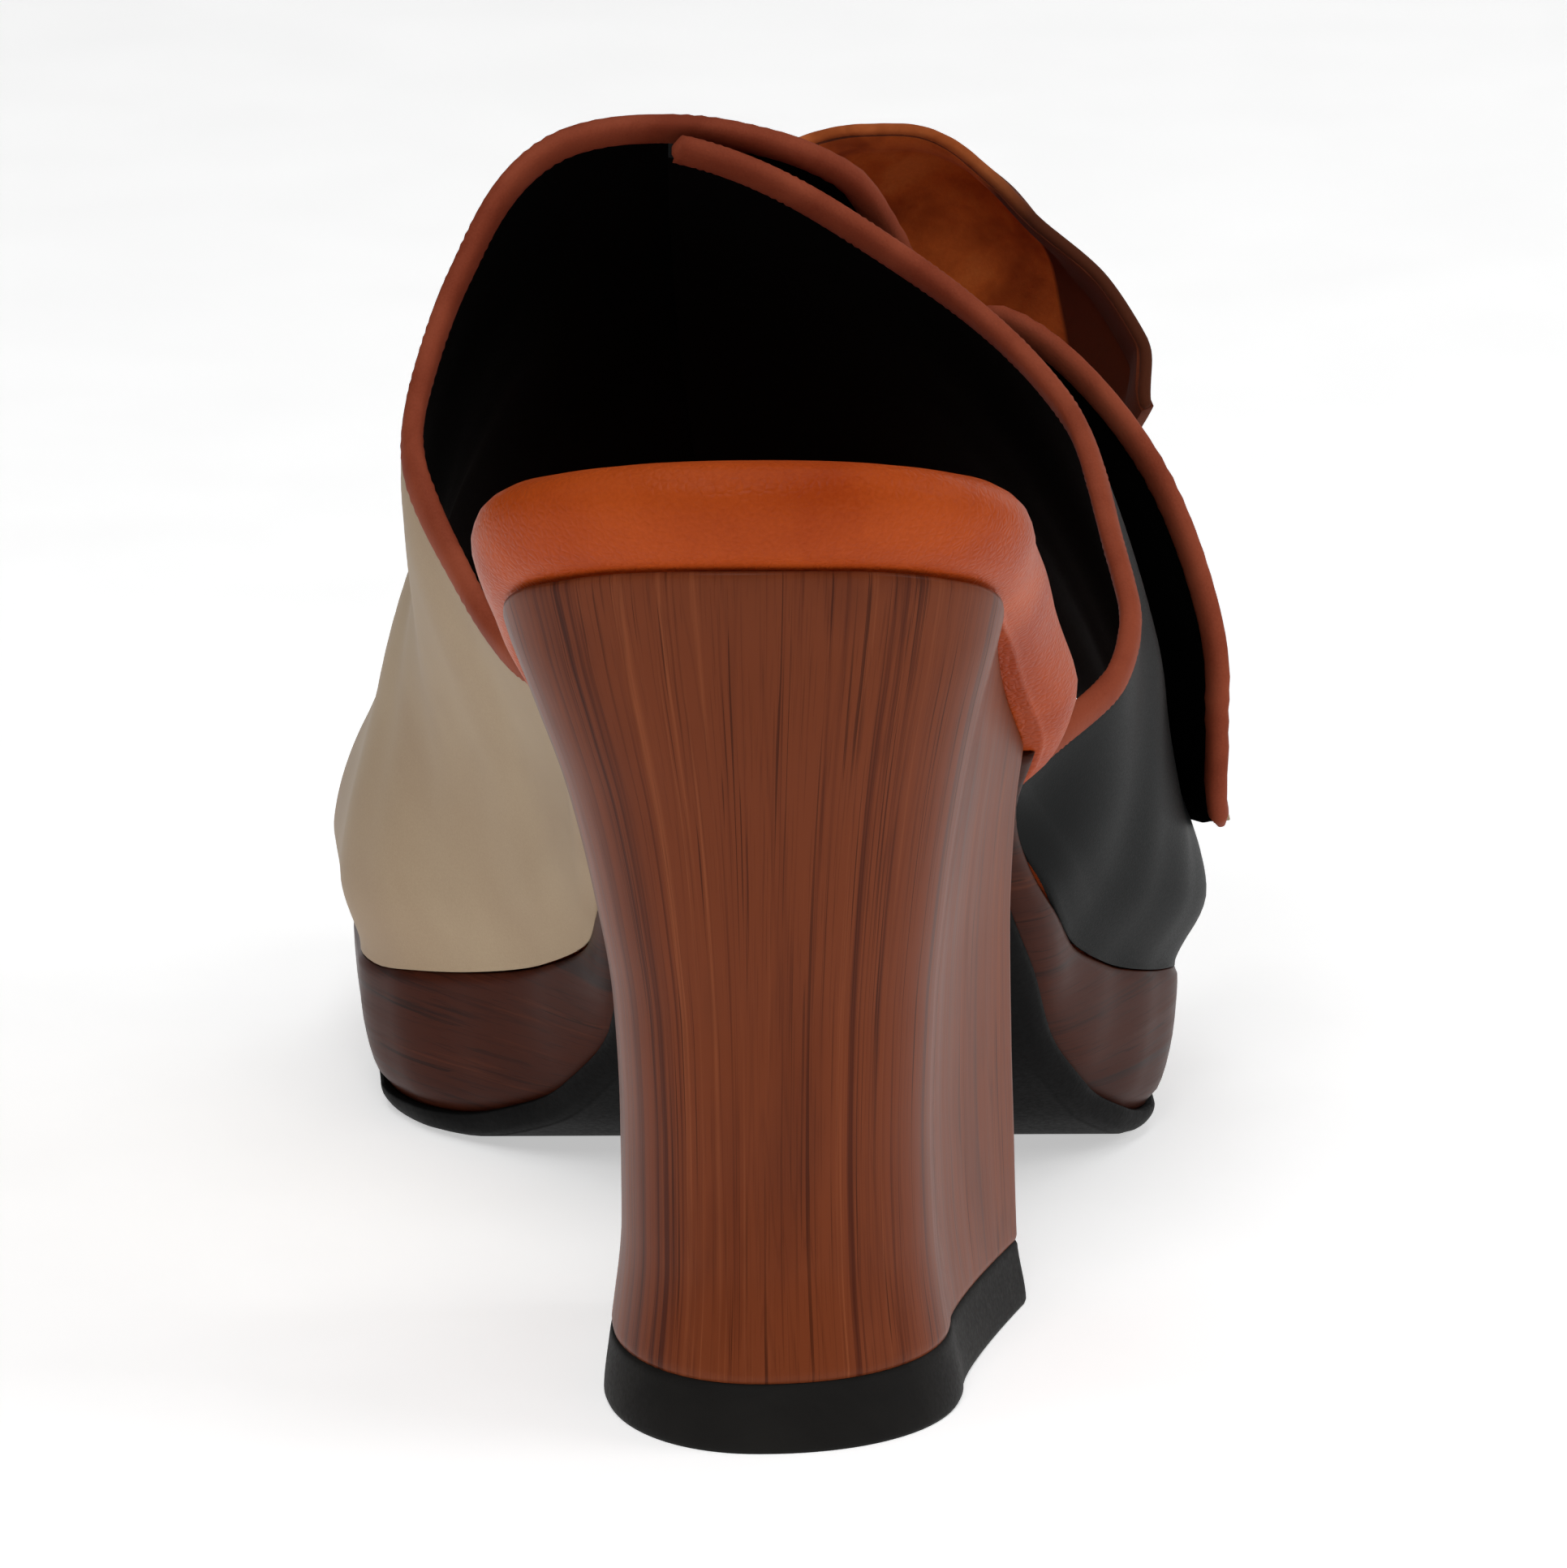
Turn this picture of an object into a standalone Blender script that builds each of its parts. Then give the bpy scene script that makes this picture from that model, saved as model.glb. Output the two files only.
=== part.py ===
"""Open-toe platform mule with a tall block heel, right shoe.

Frame: metres, +Z up, floor at z = 0, toe along +Y, lateral side at +X. The origin is
on the floor under the middle of the flat tread. The functions below measure y from the
seat's rearmost point, and an empty carries the finished parts to the origin.
"""
import math

import bmesh
import bpy
import numpy as np

MM = 0.001

# Driving sizes
SOLE_LENGTH = 218 * MM
SEAT_HEIGHT = 96 * MM
PLATFORM_HEIGHT = 18 * MM
TOE_SPRING = 6.5 * MM
SEAT_WIDTH = 60 * MM
BALL_WIDTH = 86 * MM
OUTSOLE_THICKNESS = 2.8 * MM
WEDGE_TIP = 1.8 * MM
TIP_INSET = 2.6 * MM
TIP_END = 0.355
TIP_FADE = 0.06
WOOD_TAPER = 3.5 * MM
LIFT_HEIGHT = 7 * MM
HEEL_LENGTH = 62 * MM
HEEL_WAIST_WIDTH = 33 * MM
FOOTBED_SEAT = 10.5 * MM
FOOTBED_FORE = 5 * MM
FOOTBED_DISH = 1.2 * MM
FOOTBED_UNDERCUT = 3.6 * MM
INSTEP_HEIGHT = 112.5 * MM
TOE_OPENING_HEIGHT = 56 * MM
UPPER_WALL = 1.8 * MM
UPPER_BULGE = 2.4 * MM
SIDE_BULGE = 4.0 * MM
UPPER_BULGE_HEIGHT = 9 * MM
ARCH_LEAN = 19 * MM
ARCH_LEAN_HEIGHT = 60 * MM
SIDE_LEAN = 7 * MM
SIDE_LEAN_HEIGHT = 36 * MM
FLAP_STANDOFF = 8.5 * MM
CROSSING_STANDOFF = 2.4 * MM
BINDING_WIDTH = 2.8 * MM
BINDING_PROUD = 0.5 * MM
BINDING_ROUND = 0.8
PETAL_HEIGHT = 18.8 * MM
PETAL_WALL = 1.6 * MM
CLEARANCE = 0.3 * MM
BED_GAP = 0.8 * MM
JOIN_DEPTH = 0.25 * MM

# Plan of the footbed. along: share of the sole's length; medial and lateral: reach
# from the centre line as a share of the local width; centre: shift of that line
# as a share of the ball width; fore: how far the local width is the ball's
PLAN = dict(
    along=(0.00, 0.12, 0.21, 0.28, 0.345, 0.405, 0.46, 0.515, 0.57, 0.62, 0.67, 0.76, 1.00),
    medial=(0.500, 0.500, 0.470, 0.385, 0.280, 0.210, 0.192, 0.240, 0.337, 0.430, 0.470, 0.465, 0.465),
    lateral=(0.475, 0.478, 0.500, 0.502, 0.442, 0.412, 0.405, 0.437, 0.492, 0.527, 0.525, 0.505, 0.500),
    centre=(0.00, 0.00, 0.00, 0.00, 0.00, 0.00, 0.00, 0.00, 0.00, 0.00, -0.002, -0.02, -0.055),
    fore=(0.00, 0.00, 0.08, 0.22, 0.42, 0.64, 0.82, 0.94, 1.00, 1.00, 1.00, 1.00, 1.00),
)
TREAD_MIDDLE = 0.74
LEDGE_START = 0.36
LEDGE_FULL = 0.52
LEAN_END = 0.64
LEAN_FADE = 0.15
SWELL_KEPT = 0.15
SWELL_FADE_FROM = 1.0
SWELL_FADE = 2.4
TUCK_HEIGHT = 0.38
SEAT_CAP = 0.125
TOE_CAP = 0.30
SEAT_CAP_POWER = 2.2
TOE_CAP_POWER = 2.3

# Side profile. rise: height of the bed above the forefoot as a share of the seat's
# rise; full: how much of the room under the bed is filled by the platform
PROFILE = dict(
    along=(0.00, 0.055, 0.115, 0.185, 0.257, 0.303, 0.367, 0.422, 0.486, 0.541, 0.596, 0.645, 1.00),
    rise=(1.00, 0.954, 0.883, 0.780, 0.632, 0.533, 0.377, 0.241, 0.123, 0.060, 0.021, 0.000, 0.000),
    full=(0.00, 0.00, 0.00, 0.00, 0.00, 0.00, 0.03, 0.14, 0.43, 0.73, 0.95, 1.00, 1.00),
)
SPRING_START = 0.86

# Sides of the sole's pieces, from the top down. inset: how far the side is drawn in,
# as a share of the wood's taper or the footbed's undercut; up and down: share of the
# piece's thickness; dish: share of the footbed's dish
WOOD_SIDE = dict(
    inset=(0.09, 0.00, 0.09, 0.34, 0.63, 1.00),
    down=(0.00, 0.06, 0.40, 0.72, 0.90, 1.00),
)
OUTSOLE_SIDE = dict(
    inset=(0.86, 0.77, 1.00, 1.43),
    up=(1.00, 0.62, 0.22, 0.00),
)
BED_SIDE = dict(
    inset=(3.90, 1.40, 0.61, 0.17, 0.00, 0.42, 1.00),
    up=(1.00, 1.00, 0.95, 0.79, 0.60, 0.30, 0.00),
    dish=(1, 0, 0, 0, 0, 0, 0),
)
BED_THIN_FROM = 0.33
BED_THIN_TO = 0.61

# Heel, from the floor to the seat. up: share of the seat's height; the rest are
# shares of the waist's width, from the heel's centre line: reach at the back
# shoulder and at the breast on each side, and how far the back lies forward
HEEL = dict(
    up=(0.00, 0.073, 0.19, 0.31, 0.44, 0.56, 0.69, 0.78, 0.875, 1.00),
    medial_back=(0.490, 0.467, 0.430, 0.430, 0.445, 0.500, 0.590, 0.680, 0.775, 0.850),
    medial_breast=(0.380, 0.364, 0.352, 0.364, 0.418, 0.530, 0.660, 0.690, 0.710, 0.730),
    lateral_back=(0.655, 0.618, 0.573, 0.561, 0.573, 0.606, 0.660, 0.710, 0.775, 0.830),
    lateral_breast=(0.897, 0.867, 0.858, 0.848, 0.842, 0.855, 0.897, 0.905, 0.910, 0.920),
    back=(0.19, 0.24, 0.32, 0.35, 0.35, 0.31, 0.25, 0.19, 0.14, 0.08),
)
HEEL_SHOULDER = 0.42
HEEL_BACK_POWER = 2.1
HEEL_SIDE_POWER = 1.25
HEEL_LEVELS = (1.0, 0.97, 0.92, 0.86, 0.79, 0.71, 0.62, 0.53, 0.43, 0.33, 0.23, 0.13, 0.05, 0.0)

# Crest of the foot's top. along: share of the sole's length; high: share of the way
# from the toe opening's height to the instep's; side: shift from the centre line
# as a share of the ball width; round_in and round_out: roundness of the two halves
CREST = dict(
    along=(0.30, 0.43, 0.55, 0.60, 0.665, 0.74, 0.82, 0.90, 1.00),
    high=(1.75, 1.38, 1.00, 0.81, 0.57, 0.30, 0.00, -0.20, -0.40),
    side=(-0.09, -0.10, -0.10, -0.095, -0.085, -0.065, -0.05, -0.045, -0.04),
    round_in=(3.0, 3.0, 2.8, 2.4, 2.25, 2.2, 2.2, 2.2, 2.2),
    round_out=(2.0, 1.9, 1.80, 1.82, 1.9, 2.0, 2.1, 2.2, 2.2),
)

# Edges of the upper, from the medial feather line (0) over the crest (1) to the
# lateral feather line (2), as shares of the sole's length
WRAP_REAR_FOOT = 0.367
WRAP_REAR_CREST = 0.550
WRAP_REAR_POWER = 2.05
WRAP_FLAP = dict(
    around=(0.88, 1.00, 1.10, 1.20, 1.30, 1.40, 1.50, 1.62, 1.74, 1.82, 1.88, 2.00),
    rear=(0.550, 0.550, 0.562, 0.585, 0.595, 0.590, 0.581, 0.572, 0.570, 0.576, 0.600, 0.640),
)
WRAP_STAND = dict(
    around=(1.08, 1.28, 1.45, 1.60, 1.74, 1.86, 2.00),
    stand=(0.00, 0.36, 0.88, 1.00, 0.66, 0.04, 0.00),
)
WRAP_FRONT = dict(
    around=(0.0, 0.5, 1.0, 1.5, 2.0),
    front=(0.775, 0.800, 0.820, 0.800, 0.760),
)
WRAP_CLIMB = 0.55
WRAP_OPEN = 0.68
WRAP_OVER = 0.92
WRAP_JOIN = 0.62
WRAP_END_REAR = 1.865
WRAP_END_FRONT = 1.80
SIDE_REAR_FOOT = 0.330
SIDE_REAR_CREST = 0.541
SIDE_REAR_POWER = 2.2
SIDE_REAR_DIP = 0.020
SIDE_DIP_FOOT = 1.6
SIDE_FRONT_FOOT = 0.765
SIDE_FRONT_CREST = 0.790
SIDE_END = 0.96
WRAP_TURN = 0.88
SIDE_TURN = 0.8
FOOT_CROWDING = 1.38
BINDING_END = 0.9975

# Petal: where its foot and rim stand on the upper, and its standing profile
PETAL_FROM = 1.09
PETAL_TO = 1.55
PETAL_RIM = 0.600
PETAL_FOOT = 0.735
PETAL_PROFILE = dict(
    down=(0.00, 0.25, 0.50, 0.75, 1.00),
    high=(0.76, 1.00, 0.92, 0.52, 0.00),
)
PETAL_STAND = dict(
    across=(0.00, 0.10, 0.22, 0.36, 0.50, 0.64, 0.78, 0.90, 1.00),
    high=(0.25, 0.60, 0.86, 0.97, 0.90, 0.70, 0.60, 0.54, 0.25),
)


def spline(table, name, key="along"):
    """Smooth monotone curve through two named columns of a table."""
    x = np.array(table[key], float)
    y = np.array(table[name], float)
    step = np.diff(x)
    slope = np.diff(y) / step
    grade = np.zeros_like(y)
    for i in range(1, len(x) - 1):
        before, after = slope[i - 1], slope[i]
        if before * after > 0:
            first = 2 * step[i] + step[i - 1]
            last = step[i] + 2 * step[i - 1]
            grade[i] = (first + last) / (first / before + last / after)

    def value(at):
        at = np.clip(np.asarray(at, float), x[0], x[-1])
        i = np.clip(np.searchsorted(x, at, side="right") - 1, 0, len(step) - 1)
        t = (at - x[i]) / step[i]
        h = step[i]
        return (y[i] * (1 + 2 * t) * (1 - t) ** 2 + grade[i] * h * t * (1 - t) ** 2
                + y[i + 1] * t * t * (3 - 2 * t) + grade[i + 1] * h * t * t * (t - 1))
    return value


def smooth(t):
    """Zero below 0, one above 1, and level at both ends."""
    t = np.clip(t, 0.0, 1.0)
    return t * t * (3 - 2 * t)


plan_medial = spline(PLAN, "medial")
plan_lateral = spline(PLAN, "lateral")
plan_centre = spline(PLAN, "centre")
plan_fore = spline(PLAN, "fore")
profile_rise = spline(PROFILE, "rise")
profile_full = spline(PROFILE, "full")
crest_high = spline(CREST, "high")
crest_side = spline(CREST, "side")
round_in = spline(CREST, "round_in")
round_out = spline(CREST, "round_out")
flap_rear = spline(WRAP_FLAP, "rear", "around")
wrap_front = spline(WRAP_FRONT, "front", "around")
flap_stand = spline(WRAP_STAND, "stand", "around")
petal_high = spline(PETAL_PROFILE, "high", "down")
petal_stand = spline(PETAL_STAND, "high", "across")


def spring(y):
    """Rise of the toe above the flat tread."""
    start = SPRING_START * SOLE_LENGTH
    share = np.clip((y - start) / (SOLE_LENGTH - start), 0.0, None)
    return TOE_SPRING * share ** 2


def bed(y):
    """Height of the wood's top face, on which footbed and upper stand."""
    rise = (SEAT_HEIGHT - PLATFORM_HEIGHT) * profile_rise(y / SOLE_LENGTH)
    return PLATFORM_HEIGHT + rise + spring(y)


def tread(y):
    """Height of the outsole's lower face: zero on the flat tread."""
    full = profile_full(y / SOLE_LENGTH)
    level = bed(y) - spring(y)
    return (1 - full) * (level - WEDGE_TIP - OUTSOLE_THICKNESS - CLEARANCE) + spring(y)


def wood_bottom(y):
    """Height of the platform's lower face."""
    return tread(y) + OUTSOLE_THICKNESS + CLEARANCE


def side_reach(y):
    """Centre line and the medial and lateral edges of the footbed, without its round ends."""
    share = y / SOLE_LENGTH
    fore = plan_fore(share)
    width = SEAT_WIDTH * (1 - fore) + BALL_WIDTH * fore
    centre = BALL_WIDTH * plan_centre(share)
    return centre, plan_medial(share) * width, plan_lateral(share) * width


def fore_share(y):
    """Zero at the waist, where the upper tucks under the footbed, and one at the ball."""
    return smooth((y / SOLE_LENGTH - LEDGE_START) / (LEDGE_FULL - LEDGE_START))


def ledge(y):
    """How far the upper's inner foot stands outside the footbed: tucked under it at the waist."""
    return BED_GAP * fore_share(y) - (FOOTBED_UNDERCUT - 2 * BED_GAP) * (1 - fore_share(y))


def wood_edge(y):
    """How far the wood's top edge stands outside the footbed, under the upper's wall."""
    tip = smooth((TIP_END - y / SOLE_LENGTH) / TIP_FADE)
    return ledge(y) + UPPER_WALL + CLEARANCE - TIP_INSET * tip


def outline(stations, inset, back=0.0, round_back=True, beyond=None):
    """Left and right edge points of the plan, drawn in by inset, at matched lengths."""
    start = inset if round_back else back
    stop = SOLE_LENGTH - inset + (beyond(SOLE_LENGTH) if beyond else 0.0)
    y = start + (stop - start) * stations
    centre, medial, lateral = side_reach(y)
    share = (y - inset) / (stop - inset)
    if beyond:
        medial = medial + beyond(y)
        lateral = lateral + beyond(y)
    toe = np.clip((share - 1 + TOE_CAP) / TOE_CAP, 0.0, 1.0)
    cap = (1 - toe ** TOE_CAP_POWER) ** (1 / 2)
    if round_back:
        seat = np.clip(1 - share / SEAT_CAP, 0.0, 1.0)
        cap = cap * (1 - seat ** SEAT_CAP_POWER) ** (1 / SEAT_CAP_POWER)
    left = centre - (medial - inset) * cap
    right = centre + (lateral - inset) * cap
    return left, right, y


def eased(count, round_back=True):
    """Stations from 0 to 1, closer together at the ends that are round."""
    t = np.linspace(0.0, 1.0, count + 1)
    if round_back:
        return (1 - np.cos(math.pi * t)) / 2
    return np.sin(math.pi * t / 2)


def ring(stations, inset, height, **ends):
    """One ring of points: rows of left and right edge points at height(y)."""
    left, right, y = outline(stations, inset, **ends)
    z = height(y)
    return np.stack([np.stack([left, y, z], 1), np.stack([right, y, z], 1)], 1)


def stack(name, rings):
    """Closed solid from rings of matched left and right points, top ring first."""
    mesh = bmesh.new()
    rows = [[[mesh.verts.new(point) for point in pair] for pair in level] for level in rings]
    last = len(rows[0]) - 1
    for upper_row, lower_row in zip(rows, rows[1:]):
        for j in range(last):
            mesh.faces.new((upper_row[j][0], upper_row[j + 1][0], lower_row[j + 1][0], lower_row[j][0]))
            mesh.faces.new((upper_row[j + 1][1], upper_row[j][1], lower_row[j][1], lower_row[j + 1][1]))
        for j in (0, last):
            mesh.faces.new((upper_row[j][0], upper_row[j][1], lower_row[j][1], lower_row[j][0]))
    for level in (rows[0], rows[-1]):
        for j in range(last):
            mesh.faces.new((level[j][0], level[j][1], level[j + 1][1], level[j + 1][0]))
    return solid(name, mesh)


def solid(name, mesh, angle=40):
    """Object of a finished bmesh, with doubles merged and faces pointing out."""
    bmesh.ops.remove_doubles(mesh, verts=mesh.verts, dist=0.000001)
    bmesh.ops.recalc_face_normals(mesh, faces=mesh.faces)
    data = bpy.data.meshes.new(name)
    mesh.to_mesh(data)
    mesh.free()
    data.shade_smooth()
    data.set_sharp_from_angle(angle=math.radians(angle))
    return bpy.data.objects.new(name, data)


def foot_point(around, y):
    """Inner face of the upper: around runs 0 medial edge, 1 crest, 2 lateral edge."""
    share = y / SOLE_LENGTH
    centre, medial, lateral = side_reach(y)
    crest_x = BALL_WIDTH * crest_side(share)
    base_z = bed(y) + CLEARANCE
    crest_z = TOE_OPENING_HEIGHT + (INSTEP_HEIGHT - TOE_OPENING_HEIGHT) * crest_high(share)
    inner = around <= 1
    roundness = np.where(inner, round_in(share), round_out(share))
    climb = math.pi / 2 * np.where(inner, around, 2 - around) ** (roundness / 2)
    power = 2 / roundness
    reach = np.where(inner, centre - medial, centre + lateral)
    out = np.clip(np.cos(climb), 0.0, 1.0) ** power
    up = np.clip(np.sin(climb), 0.0, 1.0) ** power
    z = base_z + (crest_z - base_z) * up
    above = z - base_z
    fade = smooth((above / UPPER_BULGE_HEIGHT - SWELL_FADE_FROM) / SWELL_FADE)
    swell = smooth(above / UPPER_BULGE_HEIGHT) * (1 - (1 - SWELL_KEPT) * fade)
    tuck = BED_GAP + (ledge(y) - BED_GAP) * (1 - np.clip(above / (TUCK_HEIGHT * FOOTBED_SEAT), 0.0, 1.0))
    waist = smooth((LEAN_END - share) / LEAN_FADE)
    medial_lean = ARCH_LEAN * waist * smooth(above / ARCH_LEAN_HEIGHT)
    lateral_lean = SIDE_LEAN * waist * smooth(above / SIDE_LEAN_HEIGHT)
    medial_out = tuck + UPPER_BULGE * swell * fore_share(y) + medial_lean
    lateral_out = tuck + SIDE_BULGE * swell * fore_share(y) + lateral_lean
    x = crest_x + (reach - crest_x) * out + np.where(inner, -medial_out, lateral_out) * out
    return np.stack(np.broadcast_arrays(x, y, z), -1)


def foot_normal(around, y):
    """Outward normal of foot_point, by central differences."""
    turn, step = 0.004, 0.5 * MM
    near = np.clip(around, turn, 2 - turn)
    across = foot_point(near + turn, y) - foot_point(near - turn, y)
    forward = foot_point(near, y + step) - foot_point(near, y - step)
    normal = np.cross(across, forward)
    return normal / np.linalg.norm(normal, axis=-1, keepdims=True)


def over_foot(around, y, off):
    """Point at the distance off outside foot_point."""
    point = foot_point(around, y) + foot_normal(around, y) * np.asarray(off)[..., None]
    point[..., 2] = np.maximum(point[..., 2], bed(point[..., 1]) + CLEARANCE)
    return point


def wrap_rear(around):
    """Rear edge of the wrapped panel, as a length from the seat's back."""
    climb = np.clip(1 - around / WRAP_TURN, 0.0, 1.0)
    medial = WRAP_REAR_FOOT + (WRAP_REAR_CREST - WRAP_REAR_FOOT) * (1 - climb ** WRAP_REAR_POWER)
    share = np.where(around < WRAP_TURN, medial, flap_rear(around))
    return SOLE_LENGTH * share


def wrap_place(u, v):
    """Around and length of the wrapped panel at u from foot to flap, v from rear to front."""
    around = u * (WRAP_END_REAR + (WRAP_END_FRONT - WRAP_END_REAR) * v)
    rear = wrap_rear(around)
    return around, rear + (SOLE_LENGTH * wrap_front(around) - rear) * v


def wrap_off(around, v):
    """How far the wrapped panel's inner face stands off the foot."""
    over = (UPPER_WALL - JOIN_DEPTH) * smooth((around - WRAP_CLIMB) / (WRAP_OVER - WRAP_CLIMB))
    crossing = CROSSING_STANDOFF * smooth((around - WRAP_OPEN) / (WRAP_OVER - WRAP_OPEN))
    flap = (FLAP_STANDOFF - CROSSING_STANDOFF) * flap_stand(around)
    return over + (crossing + flap) * (1 - smooth(v / WRAP_JOIN))


def side_place(u, v):
    """Around and length of the lateral panel at u from its foot to its end, v to the front."""
    around = 2 - u * (2 - SIDE_END)
    climb = np.clip(1 - (2 - around) / SIDE_TURN, 0.0, 1.0)
    rear = SIDE_REAR_FOOT + (SIDE_REAR_CREST - SIDE_REAR_FOOT) * (1 - climb ** SIDE_REAR_POWER)
    dip = np.clip((SIDE_DIP_FOOT - around) / (SIDE_DIP_FOOT - 1), 0.0, 1.0)
    rear = rear + SIDE_REAR_DIP * np.sin(math.pi * dip)
    front = SIDE_FRONT_FOOT + (SIDE_FRONT_CREST - SIDE_FRONT_FOOT) * u
    return around, SOLE_LENGTH * (rear + (front - rear) * v)


def wrap_sheet(u, v, off=0.0):
    """Point of the wrapped panel, off above its inner face."""
    around, y = wrap_place(u, v)
    return over_foot(around, y, wrap_off(around, v) + off)


def side_sheet(u, v, off=0.0):
    """Point of the lateral panel, off above its inner face."""
    around, y = side_place(u, v)
    return over_foot(around, y, np.zeros_like(around) + off)


def petal_sheet(u, v, off=0.0):
    """Point of the petal, u from its medial to its lateral end, v from rim to foot."""
    around = PETAL_FROM + (PETAL_TO - PETAL_FROM) * u
    y = SOLE_LENGTH * (PETAL_RIM + (PETAL_FOOT - PETAL_RIM) * v)
    rear = wrap_rear(around)
    front = SOLE_LENGTH * wrap_front(around)
    under = wrap_off(around, np.clip((y - rear) / (front - rear), 0.0, 1.0))
    stand = PETAL_HEIGHT * petal_stand(u) * petal_high(v)
    return over_foot(around, y, under + UPPER_WALL + 2 * CLEARANCE + stand + off)


def sheet_wall(name, sheet, columns, rows, wall, crowding=1.0):
    """Closed shell a wall thick outside a sheet; crowding draws its columns to the first end."""
    across = np.linspace(0, 1, columns + 1) ** crowding
    u, v = np.meshgrid(across, np.linspace(0, 1, rows + 1), indexing="ij")
    mesh = bmesh.new()
    inner, outer = [
        [[mesh.verts.new(point) for point in line] for line in sheet(u, v, np.full_like(u, off))]
        for off in (0.0, wall)
    ]
    for i in range(columns):
        for j in range(rows):
            for face in (inner, outer):
                mesh.faces.new((face[i][j], face[i][j + 1], face[i + 1][j + 1], face[i + 1][j]))
    for i in range(columns):
        for j in (0, rows):
            mesh.faces.new((inner[i][j], inner[i + 1][j], outer[i + 1][j], outer[i][j]))
    for j in range(rows):
        for i in (0, columns):
            mesh.faces.new((inner[i][j], inner[i][j + 1], outer[i][j + 1], outer[i][j]))
    return solid(name, mesh, 50)


def edge_rod(name, sheet, u, wall, foot=True, sides=8):
    """Rolled binding just outside the rear edge of a sheet, along the values u."""
    middle = wall / 2
    step = 0.002
    edge = sheet(u, np.zeros_like(u), middle)
    inward = sheet(u, np.full_like(u, step), middle) - edge
    along = sheet(u + step, np.zeros_like(u), middle) - sheet(u - step, np.zeros_like(u), middle)
    normal = sheet(u, np.zeros_like(u), middle + MM) - edge
    along = along / np.linalg.norm(along, axis=-1, keepdims=True)
    normal = normal - along * np.sum(normal * along, -1, keepdims=True)
    normal = normal / np.linalg.norm(normal, axis=-1, keepdims=True)
    out = np.cross(along, normal)
    out = out * -np.sign(np.sum(out * inward, -1, keepdims=True))
    centre = edge + out * (CLEARANCE + BINDING_WIDTH / 2)
    if foot:
        clear = centre[:, 2] > bed(centre[:, 1]) + BINDING_WIDTH
        centre, out, normal = centre[clear], out[clear], normal[clear]
    angles = np.linspace(0, 2 * math.pi, sides, endpoint=False) + math.pi / sides
    wide = BINDING_WIDTH / 2
    high = wall / 2 + BINDING_PROUD
    mesh = bmesh.new()
    rings = []
    for at, side, top in zip(centre, out, normal):
        points = [at + side * wide * rounded(math.cos(a)) + top * high * rounded(math.sin(a)) for a in angles]
        rings.append([mesh.verts.new(point) for point in points])
    for a, b in zip(rings, rings[1:]):
        for k in range(sides):
            n = (k + 1) % sides
            mesh.faces.new((a[k], a[n], b[n], b[k]))
    mesh.faces.new(rings[0])
    mesh.faces.new(rings[-1])
    return solid(name, mesh, 60)


def rounded(value):
    """Push a cosine outwards, so that a ring of points is a rounded square."""
    return math.copysign(abs(value) ** BINDING_ROUND, value)


def make_outsole():
    """Thin outsole: flat tread, and up the arch to the heel's breast."""
    ends = dict(back=breast_y() + CLEARANCE, round_back=False, beyond=wood_edge)
    stations = eased(34, round_back=False)
    rings = []
    for inset, up in zip(OUTSOLE_SIDE["inset"], OUTSOLE_SIDE["up"]):
        def height(y, up=up):
            return tread(y) + OUTSOLE_THICKNESS * up
        rings.append(ring(stations, WOOD_TAPER * inset, height, **ends))
    return stack("outsole", rings)


def make_platform():
    """Wood platform: full under the forefoot, a thin wedge up the arch."""
    ends = dict(back=breast_y() + CLEARANCE, round_back=False, beyond=wood_edge)
    stations = eased(36, round_back=False)
    rings = []
    for inset, down in zip(WOOD_SIDE["inset"], WOOD_SIDE["down"]):
        def height(y, down=down):
            return bed(y) + (wood_bottom(y) - bed(y)) * down
        rings.append(ring(stations, WOOD_TAPER * inset, height, **ends))
    return stack("platform", rings)


def make_footbed():
    """Padded, leather-wrapped bed with round shoulders and a shallow dish."""
    stations = eased(44)
    rings = []
    for inset, up, dish in zip(BED_SIDE["inset"], BED_SIDE["up"], BED_SIDE["dish"]):
        def height(y, up=up, dish=dish):
            return bed(y) + CLEARANCE + footbed_thickness(y) * up - FOOTBED_DISH * dish
        rings.append(ring(stations, FOOTBED_UNDERCUT * inset, height))
    return stack("footbed", rings)


def footbed_thickness(y):
    """Thick at the seat, thin under the forefoot."""
    fore = smooth((y / SOLE_LENGTH - BED_THIN_FROM) / (BED_THIN_TO - BED_THIN_FROM))
    return FOOTBED_SEAT + (FOOTBED_FORE - FOOTBED_SEAT) * fore


def breast_y():
    """Length at which the heel's flat breast stands."""
    return heel_back(SEAT_HEIGHT) + HEEL_LENGTH


def heel_back(z):
    """Length of the heel's back at a height."""
    return HEEL_WAIST_WIDTH * spline(HEEL, "back", "up")(z / SEAT_HEIGHT)


def heel_edge(share, z):
    """Left and right points of the heel's outline, share 0 at the back to 1 at the breast."""
    up = z / SEAT_HEIGHT
    back = heel_back(z)
    y = back + (breast_y() - back) * share
    turn = np.clip(1 - share / HEEL_SHOULDER, 0.0, 1.0)
    cap = (1 - turn ** HEEL_BACK_POWER) ** (1 / HEEL_BACK_POWER)
    ahead = np.clip((share - HEEL_SHOULDER) / (1 - HEEL_SHOULDER), 0.0, 1.0) ** HEEL_SIDE_POWER
    sides = []
    for side, sign in (("medial", -1), ("lateral", 1)):
        at_back = spline(HEEL, side + "_back", "up")(up)
        at_breast = spline(HEEL, side + "_breast", "up")(up)
        reach = HEEL_WAIST_WIDTH * (at_back + (at_breast - at_back) * ahead) * cap
        sides.append(np.stack([sign * reach, y, z], 1))
    return np.stack(sides, 1)


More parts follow.
